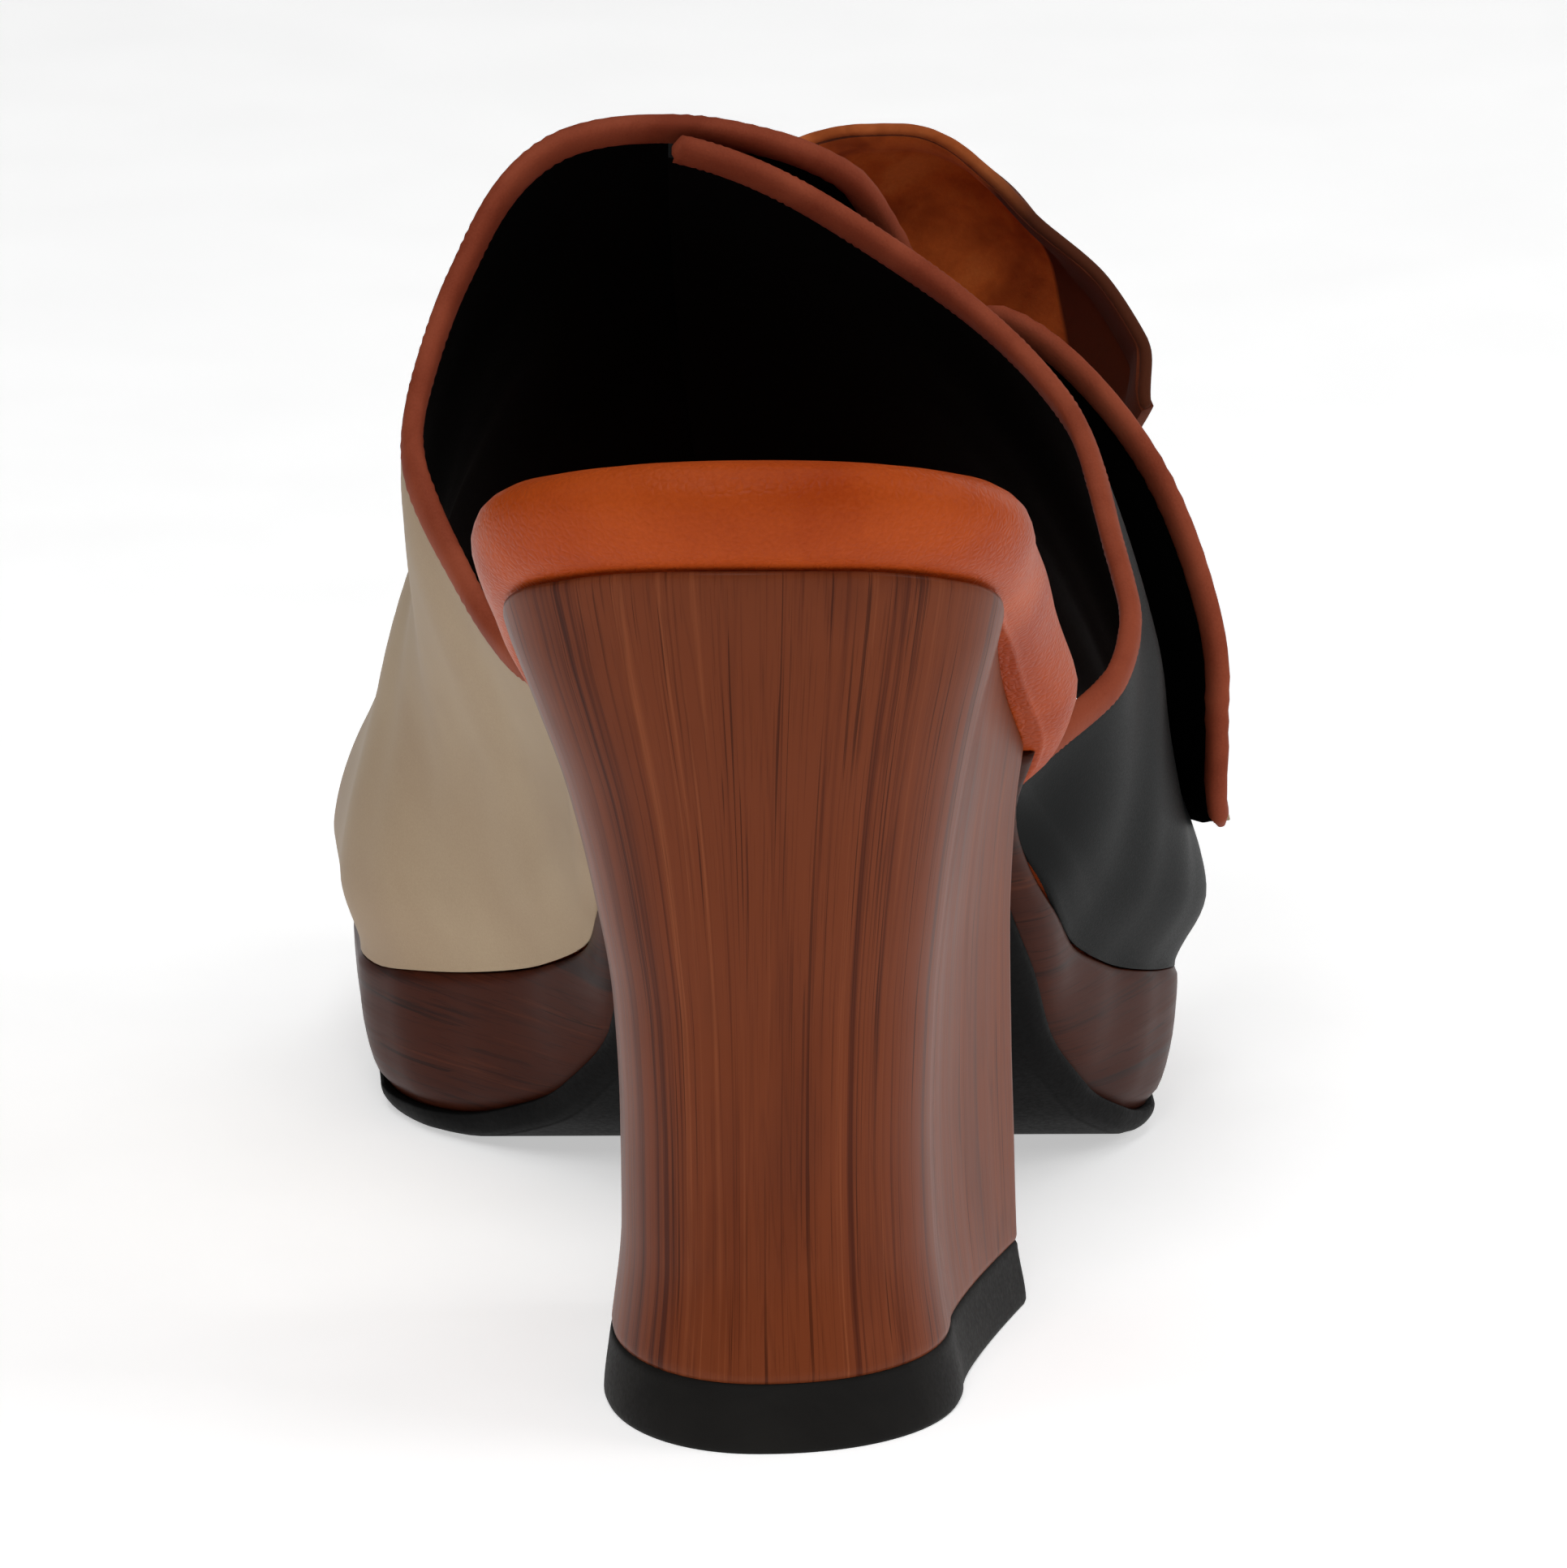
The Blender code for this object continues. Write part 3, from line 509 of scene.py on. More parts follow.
@dataclass
class Graph:
    """Node tree of one material, written from left to right."""

    name: str
    material: bpy.types.Material = field(init=False)

    def __post_init__(self) -> None:
        """Start the material with its Principled shader."""
        self.material = bpy.data.materials.new(self.name)
        self.material.use_nodes = True
        self.tree = self.material.node_tree
        self.shader = self.tree.nodes["Principled BSDF"]

    def add(self, kind: str, sockets: dict[str | int, Value] | None = None,
            **settings: str | bool) -> bpy.types.Node:
        """Add a node.

        Args:
            kind: the node's type without its ShaderNode start.
            sockets: input name or number to a value or to an output socket.
            settings: properties of the node.

        Returns:
            The node.
        """
        node = self.tree.nodes.new("ShaderNode" + kind)
        for key, value in settings.items():
            setattr(node, key, value)
        for key, value in (sockets or {}).items():
            self.feed(node, key, value)
        return node

    def feed(self, node: bpy.types.Node, key: str | int, value: Value) -> None:
        """Link an output to an input, or set the input's value.

        Args:
            node: the node that is fed.
            key: name or number of its input.
            value: an output socket, a number or a colour.
        """
        if isinstance(value, Socket):
            self.tree.links.new(value, node.inputs[key])
        else:
            node.inputs[key].default_value = value

    def place(self, scale: Place = (1, 1, 1)) -> Socket:
        """Object coordinates in metres, stretched by scale."""
        where = self.add("TexCoord").outputs["Object"]
        return self.add("Mapping", {"Vector": where, "Scale": scale}).outputs[0]

    def noise(self, vector: Socket, scale: float, detail: float = 4.0,
              rough: float = 0.55, warp: float = 0.0) -> Socket:
        """Noise of a fineness given in cells a metre."""
        sockets = {"Vector": vector, "Scale": scale, "Detail": detail,
                   "Roughness": rough, "Distortion": warp}
        return self.add("TexNoise", sockets).outputs[0]

    def math(self, operation: str, *values: Value) -> Socket:
        """One arithmetic step."""
        return self.add("Math", dict(enumerate(values)), operation=operation).outputs[0]

    def weigh(self, *parts: tuple[Socket, float]) -> Socket:
        """Sum of two values, each times its own weight."""
        return self.math("ADD", *(self.math("MULTIPLY", value, weight) for value, weight in parts))

    def split(self, vector: Socket) -> tuple[Socket, Socket, Socket]:
        """The three values of a vector."""
        return tuple(self.add("SeparateXYZ", {0: vector}).outputs)

    def ramp(self, value: Socket, *stops: tuple[float, Colour]) -> Socket:
        """Colours at places between 0 and 1.

        Args:
            value: the place that is read.
            stops: place and colour of each stop.

        Returns:
            The colour.
        """
        node = self.add("ValToRGB", {0: value})
        bar = node.color_ramp.elements
        while len(bar) < len(stops):
            bar.new(0.5)
        for element, (at, colour) in zip(bar, stops):
            element.position, element.color = at, colour
        return node.outputs[0]

    def span(self, value: Socket, low: float, high: float,
             to_low: float = 0.0, to_high: float = 1.0) -> Socket:
        """Stretch the range low to high over to_low to to_high."""
        sockets = {"Value": value, "From Min": low, "From Max": high,
                   "To Min": to_low, "To Max": to_high}
        return self.add("MapRange", sockets, clamp=True).outputs[0]

    def mix(self, amount: Value, first: Value, second: Value) -> Socket:
        """Blend two colours.

        Args:
            amount: 0 for the first colour, 1 for the second.
            first: the first colour.
            second: the second colour.

        Returns:
            The blended colour.
        """
        node = self.add("Mix", data_type="RGBA")
        for key, value in ((0, amount), (6, first), (7, second)):
            self.feed(node, key, value)
        return node.outputs[2]

    def bump(self, height: Socket, depth: float, strength: float = 1.0) -> None:
        """Raise the surface by a height of 0 to 1 times a depth in metres."""
        node = self.add("Bump", {"Height": height, "Distance": depth, "Strength": strength})
        self.tree.links.new(node.outputs[0], self.shader.inputs["Normal"])

    def set(self, **sockets: Value) -> bpy.types.Material:
        """Set the shader's sockets.

        Args:
            sockets: their values, with _ for a space in a name.

        Returns:
            The material.
        """
        for key, value in sockets.items():
            self.feed(self.shader, key.replace("_", " "), value)
        return self.material


@dataclass(frozen=True)
class WoodFinish:
    """Dark wood with drawn-out pores under a satin lacquer.

    Attributes:
        name: name of the material.
        grain: up the heel, or along the sole.
        dark: colour of its dark streaks.
        body: colour of most of it.
        light: colour of its light streaks.
        pore: colour of its pores.
        lacquer: strength of the clear coat.
        girth: radius that the grain is wrapped round.
        rise: height that the grain runs over.
        squash: how little the grain changes across the sole.
    """

    name: str
    grain: Grain
    dark: Colour = paint(82, 36, 20)
    body: Colour = paint(122, 60, 33)
    light: Colour = paint(144, 77, 45)
    pore: Colour = paint(36, 13, 8)
    lacquer: float = 0.13
    girth: float = 32 * MM
    rise: float = 89 * MM
    squash: float = 0.06

    def build(self) -> bpy.types.Material:
        """Make the material.

        Returns:
            The material.
        """
        graph = Graph(self.name)
        x, across, run = self.directions(graph)
        wander = self.drawn(graph, x, across, run, 0.05)
        long = self.drawn(graph, x, across, run, 0.010)
        short = self.drawn(graph, x, across, run, 0.020)
        band = graph.noise(long, 190.0, 3.0, 0.5, 0.3)
        streak = graph.noise(long, 900.0, 5.0, 0.65, 0.4)
        tone = graph.weigh((band, 0.5), (streak, 0.5))
        wood = graph.ramp(tone, (0.38, self.dark), (0.47, self.body), (0.55, self.body), (0.65, self.light))
        broken = graph.span(graph.noise(wander, 420.0, 2.0), 0.42, 0.58)
        lines = graph.span(graph.noise(long, 2200.0, 2.0, 0.45, 0.6), 0.405, 0.355)
        lines = graph.math("MULTIPLY", graph.math("MULTIPLY", lines, broken), 0.62)
        wood = graph.mix(lines, wood, self.pore)
        pores = graph.span(graph.noise(short, 4200.0, 2.0, 0.5), 0.40, 0.32)
        wood = graph.mix(graph.math("MULTIPLY", pores, 0.34), wood, self.dark)
        ring = graph.math("MULTIPLY", graph.noise(wander, 170.0, 1.0, 0.4, 0.8), 12.0)
        ring = graph.math("PINGPONG", ring, 1.0)
        wood = graph.mix(graph.span(ring, 0.80, 1.0, 0.0, 0.22), wood, self.dark)
        patch = graph.noise(self.drawn(graph, x, across, run, 0.35), 75.0, 3.0, 0.55)
        wood = graph.mix(graph.span(patch, 0.50, 0.68, 0.0, 0.34), wood, self.dark)
        graph.bump(graph.math("SUBTRACT", 1.0, pores), 0.02 * MM, 0.25)
        rough = graph.span(streak, 0.3, 0.7, 0.32, 0.44)
        return graph.set(Base_Color=wood, Roughness=rough, IOR=1.12,
                         Coat_Weight=self.lacquer, Coat_Roughness=0.30, Coat_IOR=1.4)

    def directions(self, graph: Graph) -> tuple[Socket, Socket, Socket]:
        """Two directions across the grain and the one along it.

        Args:
            graph: the material's nodes.

        Returns:
            The lengths across, across and along, in metres.
        """
        if self.grain is Grain.ALONG:
            x, run, across = graph.split(graph.place())
            return graph.math("MULTIPLY", x, self.squash), across, run
        about, climb, _ = graph.split(graph.add("UVMap", uv_map="panel").outputs[0])
        turn = graph.math("MULTIPLY", about, 2 * math.pi)
        x = graph.math("MULTIPLY", graph.math("COSINE", turn), self.girth)
        across = graph.math("MULTIPLY", graph.math("SINE", turn), self.girth)
        return x, across, graph.math("MULTIPLY", climb, self.rise)

    @staticmethod
    def drawn(graph: Graph, x: Socket, across: Socket, run: Socket, share: float) -> Socket:
        """Coordinates drawn out along the grain, which keeps only a share of its length."""
        sockets = {0: x, 1: across, 2: graph.math("MULTIPLY", run, share)}
        return graph.add("CombineXYZ", sockets).outputs[0]


@dataclass(frozen=True)
class LeatherFinish:
    """Smooth or grained leather with a soft finish.

    Attributes:
        name: name of the material.
        colour: colour of most of it.
        shade: colour of its darker clouds.
        cell: size of a pebble of the grain.
        relief: height of the grain.
        rough: roughness of the face.
        coat: strength of the clear coat.
        blotch: size of the clouds.
        sheen: strength of the soft sheen.
        shine: strength of the highlight.
    """

    name: str
    colour: Colour
    shade: Colour
    cell: float = 0.7 * MM
    relief: float = 0.03 * MM
    rough: float = 0.42
    coat: float = 0.15
    blotch: float = 22 * MM
    sheen: float = 0.0
    shine: float = 0.4

    def build(self) -> bpy.types.Material:
        """Make the material.

        Returns:
            The material.
        """
        graph = Graph(self.name)
        where = graph.place()
        cloud = graph.noise(where, 1 / self.blotch, 3.0, 0.5, 0.4)
        speck = graph.noise(where, 1 / (0.5 * self.cell), 3.0, 0.6)
        tone = graph.weigh((cloud, 0.75), (speck, 0.25))
        colour = graph.mix(graph.span(tone, 0.36, 0.64), self.shade, self.colour)
        warped = graph.add("VectorMath", {0: where, 1: self.jitter(graph, where)}, operation="ADD")
        sockets = {"Vector": warped.outputs[0], "Scale": 1 / self.cell}
        cells = graph.add("TexVoronoi", sockets, feature="DISTANCE_TO_EDGE")
        pebble = graph.span(cells.outputs["Distance"], 0.0, 0.28)
        fold = graph.noise(where, 1 / (5 * self.cell), 4.0, 0.6, 0.8)
        height = graph.weigh((pebble, 0.55), (fold, 0.9))
        height = graph.math("ADD", height, graph.math("MULTIPLY", speck, 0.25))
        graph.bump(height, self.relief, 0.6)
        rough = graph.span(speck, 0.3, 0.7, self.rough - 0.05, self.rough + 0.07)
        return graph.set(Base_Color=colour, Roughness=rough, Coat_Weight=self.coat, Coat_Roughness=0.3,
                         Sheen_Weight=self.sheen, Specular_IOR_Level=self.shine, IOR=1.18)

    def jitter(self, graph: Graph, where: Socket) -> Socket:
        """Small shift that makes the grain's cells uneven.

        Args:
            graph: the material's nodes.
            where: places on the leather.

        Returns:
            The shift of each place.
        """
        noise = graph.add("TexNoise", {"Vector": where, "Scale": 1 / (2 * self.cell), "Detail": 2.0})
        sockets = {0: noise.outputs[1], "Scale": 0.5 * self.cell}
        return graph.add("VectorMath", sockets, operation="SCALE").outputs[0]


@dataclass(frozen=True)
class SuedeFinish:
    """Mottled suede with a brushed nap.

    Attributes:
        name: name of the material.
        colour: colour of most of it.
        shade: colour of its dark clouds.
        light: colour of its light clouds.
        fold: darker colour beyond the fold, where it has one, painted shade where the leaf turns away.
        rim: whether the fold runs along a rolled rim.
    """

    name: str
    colour: Colour
    shade: Colour
    light: Colour
    fold: Colour | None = None
    rim: bool = False

    def build(self) -> bpy.types.Material:
        """Make the material.

        Returns:
            The material.
        """
        graph = Graph(self.name)
        where = graph.place()
        cloud = graph.noise(where, 95.0, 3.0, 0.5, 0.5)
        nap = graph.noise(where, 2600.0, 3.0, 0.7)
        brush = graph.noise(graph.place((1.0, 0.35, 1.0)), 420.0, 4.0, 0.6, 0.5)
        tone = graph.weigh((cloud, 0.8), (brush, 0.2))
        colour = graph.ramp(tone, (0.38, self.shade), (0.52, self.colour), (0.66, self.light))
        colour = graph.mix(graph.span(nap, 0.3, 0.7, 0.0, 0.25), colour, self.shade)
        # Painted shade: beyond the fold the darker colour stands for the leaf turning away from the light.
        if self.fold is not None:
            colour = graph.mix(self.turned(graph), colour, self.fold)
        graph.bump(graph.math("ADD", nap, brush), 0.05 * MM, 0.8)
        return graph.set(Base_Color=colour, Roughness=0.9, Sheen_Weight=0.03, Sheen_Roughness=0.5,
                         Specular_IOR_Level=0.08)

    def turned(self, graph: Graph) -> Socket:
        """How far a place lies beyond the fold, which widens along the rim to its lateral end; beyond it
        the colour is painted shade of the leaf turning away.

        Args:
            graph: the material's nodes.

        Returns:
            Zero before the fold, one beyond it.
        """
        u, v, _ = graph.split(graph.add("UVMap", uv_map="panel").outputs[0])
        if self.rim:
            return graph.span(v, 0.40, 0.60)
        line = graph.span(u, 0.47, 0.95, 0.0, 0.85)
        beyond = graph.math("SUBTRACT", line, v)
        return graph.math("MULTIPLY", graph.span(beyond, -0.015, 0.015), graph.span(u, 0.47, 0.53))


@dataclass(frozen=True)
class RubberFinish:
    """Black moulded rubber with a fine dusty grain.

    Attributes:
        name: name of the material.
        colour: colour of most of it.
        worn: colour of its dusty clouds.
        ribs: width of a rib of the tread; 0 leaves it plain.
    """

    name: str
    colour: Colour = paint(7, 7, 7)
    worn: Colour = paint(12, 12, 12)
    ribs: float = 0.0

    def build(self) -> bpy.types.Material:
        """Make the material.

        Returns:
            The material.
        """
        graph = Graph(self.name)
        where = graph.place()
        grit = graph.noise(where, 1700.0, 3.0, 0.7)
        cloud = graph.noise(where, 60.0, 3.0, 0.5, 0.5)
        colour = graph.mix(graph.span(cloud, 0.4, 0.7, 0.0, 0.8), self.colour, self.worn)
        height = grit
        if self.ribs:
            wave = graph.add("TexWave", {"Vector": where, "Scale": 0.5 / self.ribs}, bands_direction="Y")
            low = graph.span(graph.split(where)[2], 0.4 * MM, 0.1 * MM, 0.0, 4.0)
            height = graph.math("ADD", graph.math("MULTIPLY", wave.outputs[1], low), grit)
        graph.bump(height, 0.04 * MM, 0.5)
        rough = graph.span(grit, 0.3, 0.7, 0.48, 0.62)
        return graph.set(Base_Color=colour, Roughness=rough, IOR=1.12)


@dataclass(frozen=True)
class Palette:
    """Every material of the shoe, made once."""

    heel_wood: bpy.types.Material
    sole_wood: bpy.types.Material
    cognac: bpy.types.Material
    beige: bpy.types.Material
    charcoal: bpy.types.Material
    lining: bpy.types.Material
    rust: bpy.types.Material
    suede: bpy.types.Material
    petal_face: bpy.types.Material
    petal_rim: bpy.types.Material
    petal_back: bpy.types.Material
    outsole: bpy.types.Material
    lift: bpy.types.Material

    @classmethod
    def mixed(cls) -> "Palette":
        """Make the whole palette."""
        tan = (paint(206, 106, 46), paint(160, 74, 30), paint(224, 128, 64))
        brown = (paint(100, 46, 26), paint(70, 30, 16), paint(118, 58, 34))
        worn = (paint(190, 104, 56), paint(150, 74, 34), paint(210, 124, 70))
        return cls(
            heel_wood=WoodFinish("heel_wood", Grain.UP).build(),
            sole_wood=WoodFinish(
                "sole_wood", Grain.ALONG, dark=paint(40, 15, 8), body=paint(67, 28, 14),
                light=paint(86, 41, 22), pore=paint(22, 9, 5), lacquer=0.05).build(),
            cognac=LeatherFinish(
                "cognac_leather", paint(196, 84, 30), paint(168, 63, 19), cell=0.9 * MM,
                relief=0.13 * MM, rough=0.36, coat=0.0, shine=0.45).build(),
            beige=LeatherFinish(
                "beige_leather", paint(189, 167, 138), paint(171, 146, 119), cell=0.45 * MM,
                relief=0.012 * MM, rough=0.50, coat=0.05, blotch=40 * MM, sheen=0.05, shine=0.25).build(),
            charcoal=LeatherFinish(
                "charcoal_leather", paint(22, 24, 24), paint(17, 19, 19), cell=0.45 * MM,
                relief=0.012 * MM, rough=0.44, coat=0.0, blotch=30 * MM, shine=0.22).build(),
            lining=LeatherFinish(
                "black_lining", paint(9, 9, 9), paint(5, 5, 5), cell=0.6 * MM,
                relief=0.02 * MM, rough=0.75, coat=0.0, shine=0.06).build(),
            rust=LeatherFinish(
                "rust_binding", paint(156, 78, 54), paint(132, 60, 40), cell=0.5 * MM,
                relief=0.03 * MM, rough=0.55, coat=0.0, blotch=9 * MM, shine=0.2).build(),
            suede=SuedeFinish("cognac_suede", *tan).build(),
            # The fold colours are painted shade where the petal and its rim turn away.
            petal_face=SuedeFinish("folded_suede_painted_shade", *tan, fold=paint(84, 36, 18)).build(),
            petal_rim=SuedeFinish("rim_suede_painted_shade", *worn, fold=paint(80, 40, 24), rim=True).build(),
            petal_back=SuedeFinish("brown_suede", *brown).build(),
            outsole=RubberFinish("black_outsole", ribs=4 * MM).build(),
            lift=RubberFinish("black_lift", colour=paint(29, 28, 27), worn=paint(38, 37, 35)).build(),
        )


@dataclass
class Sole:
    """Outsole, wood platform and leather-wrapped footbed."""

    last: Last
    breast: float
    wood_taper: float = 3.5 * MM
    footbed_fore: float = 5 * MM
    dish: float = 1.2 * MM
    stations: int = 150
    thin_step: SoftStep = SoftStep(0.33, 0.28)
    bed_side: Curve = Curve(
        (0.0, 0.12, 0.30, 0.58, 0.79, 0.91, 0.975, 1.0), (1.0, 0.55, 0.22, 0.0, 0.17, 0.50, 0.95, 1.55))
    wood_side: Curve = Curve((0.0, 0.10, 0.28, 0.60, 0.94, 1.0), (1.0, 0.63, 0.34, 0.09, 0.0, 0.12))
    tread_side: Curve = Curve((0.0, 0.10, 0.35, 0.70, 0.92, 1.0), (1.43, 1.12, 0.88, 0.72, 0.70, 0.80))

    def slab(self, name: str, top: Curve, height: Shape, crown: float, start: float | None,
             inset_size: float) -> bpy.types.Object:
        """Solid with the sole's plan and a moulded side.

        Args:
            name: name of the piece.
            top: inset of the side against its height, both shares.
            height: height of the piece at a share of its thickness and a length.
            crown: how far the middle of the top lies below its edge.
            start: length of a flat back, or None for a round seat.
            inset_size: size that the insets are shares of.

        Returns:
            The piece.
        """
        across, side = 18, 14
        level = (1 - np.cos(np.linspace(0, math.pi, side + 1))) / 2
        spread = np.sin(np.linspace(-math.pi / 2, math.pi / 2, across + 1))
        flat, full = np.ones(across - 1), np.ones(side + 1)
        where = np.concatenate([spread[1:-1], full, -spread[1:-1], -full, spread[1:2]])
        up = np.concatenate([flat, 1 - level, 0 * flat, level, [1.0]])
        columns = len(where) - 1

        def shape(u: np.ndarray, v: np.ndarray) -> np.ndarray:
            """Points of the slab, u round its section and v along it."""
            k = np.rint(u * columns).astype(int)
            share = (1 - np.cos(math.pi * v)) / 2 if start is None else np.sin(math.pi * v / 2)
            left, right, y = self.last.outline(share, top(up[k]) * inset_size, start)
            x = left + (right - left) * (where[k] + 1) / 2
            dip = crown * (1 - where[k] ** 4) * (up[k] == 1)
            return self.last.place(np.stack([x, y, height(up[k], y) - dip], -1))

        return Workshop.mould(name, columns, self.stations, shape, closed=True)

    def footbed_thickness(self, y: np.ndarray) -> np.ndarray:
        """Thick at the seat, thin under the forefoot."""
        fore = self.thin_step(y / self.last.length)
        return self.last.footbed_seat + (self.footbed_fore - self.last.footbed_seat) * fore

    def bed_height(self, up: np.ndarray, y: np.ndarray) -> np.ndarray:
        """Height of the footbed at a share of its thickness."""
        foot = self.last.seat_line(y)
        return foot + self.last.seam + (self.last.bed(y) - foot + self.footbed_thickness(y)) * up

    def wood_height(self, up: np.ndarray, y: np.ndarray) -> np.ndarray:
        """Height of the platform at a share of its thickness."""
        return self.last.wood_bottom(y) + (self.last.bed(y) - self.last.wood_bottom(y)) * up

    def tread_height(self, up: np.ndarray, y: np.ndarray) -> np.ndarray:
        """Height of the outsole at a share of its thickness."""
        return self.last.tread(y) + self.last.outsole * up

    def build(self, palette: Palette) -> None:
        """Make and dress the sole's three pieces.

        Args:
            palette: the shoe's materials.
        """
        footbed = self.slab("footbed_leather", self.bed_side, self.bed_height,
                            self.dish, None, self.last.undercut)
        Workshop.dress(footbed, "cognac", palette.cognac)
        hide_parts("footbed")
        platform = self.slab("platform_wood", self.wood_side, self.wood_height,
                             0.0, self.breast, self.wood_taper)
        Workshop.dress(platform, "wood", palette.sole_wood)
        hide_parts("platform")
        outsole = self.slab("outsole_rubber", self.tread_side, self.tread_height,
                            0.0, self.breast, self.wood_taper)
        Workshop.dress(outsole, "black_rubber", palette.outsole)
        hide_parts("outsole")


@dataclass
class Heel:
    """Waisted block heel and its rubber lift."""

    last: Last
    waist: float = 33 * MM
    length: float = 62 * MM
    lift: float = 7 * MM
    corner: float = 1.6 * MM
    joint: float = 0.05 * MM
    edge: float = 0.25 * MM
    edge_share: float = 0.012
    shoulder: float = 0.42
    corner_share: float = 0.035
    back_power: float = 2.1
    side_power: float = 1.25
    medial_back: Curve = Curve(
        HEEL_STATIONS, (.490, .467, .432, .436, .458, .518, .610, .702, .800, .878))
    medial_breast: Curve = Curve(
        HEEL_STATIONS, (.380, .364, .352, .364, .418, .530, .660, .690, .710, .730))
    lateral_back: Curve = Curve(
        HEEL_STATIONS, (.655, .618, .573, .561, .573, .606, .660, .710, .775, .830))
    lateral_breast: Curve = Curve(
        HEEL_STATIONS, (.897, .867, .858, .848, .842, .855, .897, .905, .910, .920))
    back: Curve = Curve(HEEL_STATIONS, (0.19, 0.24, 0.32, 0.35, 0.35, 0.31, 0.25, 0.19, 0.14, 0.08))

    def back_at(self, z: np.ndarray) -> np.ndarray:
        """Length of the heel's back at a height."""
        return self.waist * self.back(z / self.last.seat_height)

    def breast(self) -> float:
        """Length at which the flat breast stands."""
        return float(self.back_at(np.float64(self.last.seat_height))) + self.length

    def ring(self) -> tuple[np.ndarray, np.ndarray, np.ndarray]:
        """Places round the heel's outline.

        Returns:
            The side (-1 to 1), the share from back to breast, and the place across the breast.
        """
        turn = self.shoulder * (1 - np.cos(np.linspace(0, math.pi / 2, 26)))
        flat = 1 - self.corner_share
        straight = np.linspace(self.shoulder, flat, 16)[1:]
        corner = flat + self.corner_share * np.sin(np.linspace(0, math.pi / 2, 8))[1:]
        share = np.concatenate([turn, straight, corner])
        across = np.linspace(0, 1, 16)[1:-1]
        count = len(share)
        side = np.concatenate([np.ones(count), np.ones(len(across)), -np.ones(count)])
        along = np.concatenate([share, np.ones(len(across)), share[::-1]])
        over = np.concatenate([np.zeros(count), across, np.zeros(count)])
        return side, along, over

    def outline(self, side: np.ndarray, along: np.ndarray, over: np.ndarray, z: np.ndarray) -> np.ndarray:
        """Points of the heel's skin.

        Args:
            side: 1 on the lateral side, -1 on the medial side.
            along: share from the back to the breast.
            over: place across the breast, from lateral to medial.
            z: heights.

        Returns:
            The points, one row each.
        """
        up = z / self.last.seat_height
        back = self.back_at(z)
        depth = self.breast() - back
        turn = np.clip(1 - along / self.shoulder, 0.0, 1.0)
        cap = (1 - turn ** self.back_power) ** (1 / self.back_power)
        ahead = np.clip((along - self.shoulder) / (1 - self.shoulder), 0.0, 1.0) ** self.side_power
        edge = np.clip((along - 1 + self.corner / depth) / (self.corner / depth), 0.0, 1.0)
        tuck = self.corner * (1 - np.sqrt(1 - edge ** 2))

        def reach(at_back: Curve, at_breast: Curve) -> np.ndarray:
            """Reach from the centre line to one side."""
            return self.waist * (at_back(up) + (at_breast(up) - at_back(up)) * ahead) * cap - tuck

        medial = -reach(self.medial_back, self.medial_breast)
        lateral = reach(self.lateral_back, self.lateral_breast)
        x = np.where(side > 0, lateral, medial)
        x = np.where(over > 0, lateral + (medial - lateral) * over, x)
        return np.stack([x, back + depth * along, z], -1)

    def block(self, name: str, rows: int, low: float, high: Line) -> bpy.types.Object:
        """Solid with the heel's outline.

        Args:
            name: name of the piece.
            rows: faces up its side.
            low: height of its foot.
            high: height of its top at a length.

        Returns:
            The piece.
        """
        side, along, over = self.ring()
        columns = len(side)
        lip = self.edge_share

        def shape(u: np.ndarray, v: np.ndarray) -> np.ndarray:
            """Points of the block, u round it and v up it."""
            k = np.rint(u * columns).astype(int) % columns
            top = np.full_like(u, float(self.last.seat_height))
            for _ in range(40):
                y = self.back_at(top) + (self.breast() - self.back_at(top)) * along[k]
                top = 0.5 * top + 0.5 * high(y)
            rise = np.clip((1 - np.cos(math.pi * v)) / 2, 0.0, 1.0) * 0.5 + v * 0.5
            z = low + (top - low) * rise
            point = self.outline(side[k], along[k], over[k], z)
            at_foot, at_top = np.clip(1 - rise / lip, 0, 1), np.clip((rise - 1 + lip) / lip, 0, 1)
            draw = self.edge * (at_foot ** 2 + at_top ** 2)
            middle = np.stack([0 * z, self.back_at(z) + 0.5 * self.length, z], -1)
            return self.last.place(point + unit(middle - point) * draw[:, None])

        return Workshop.mould(name, columns, rows, shape, closed=True)

    def build(self, palette: Palette) -> None:
        """Make and dress the heel and its lift.

        Args:
            palette: the shoe's materials.
        """
        heel = self.block("heel_block", 110, self.lift + self.joint, self.last.seat_line)
        Workshop.dress(heel, "wood", palette.heel_wood)
        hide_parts("heel")
        lift = self.block("heel_lift", 10, 0.0, lambda y: np.full_like(y, self.lift))
        Workshop.dress(lift, "black_rubber", palette.lift)
        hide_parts("top_lift")


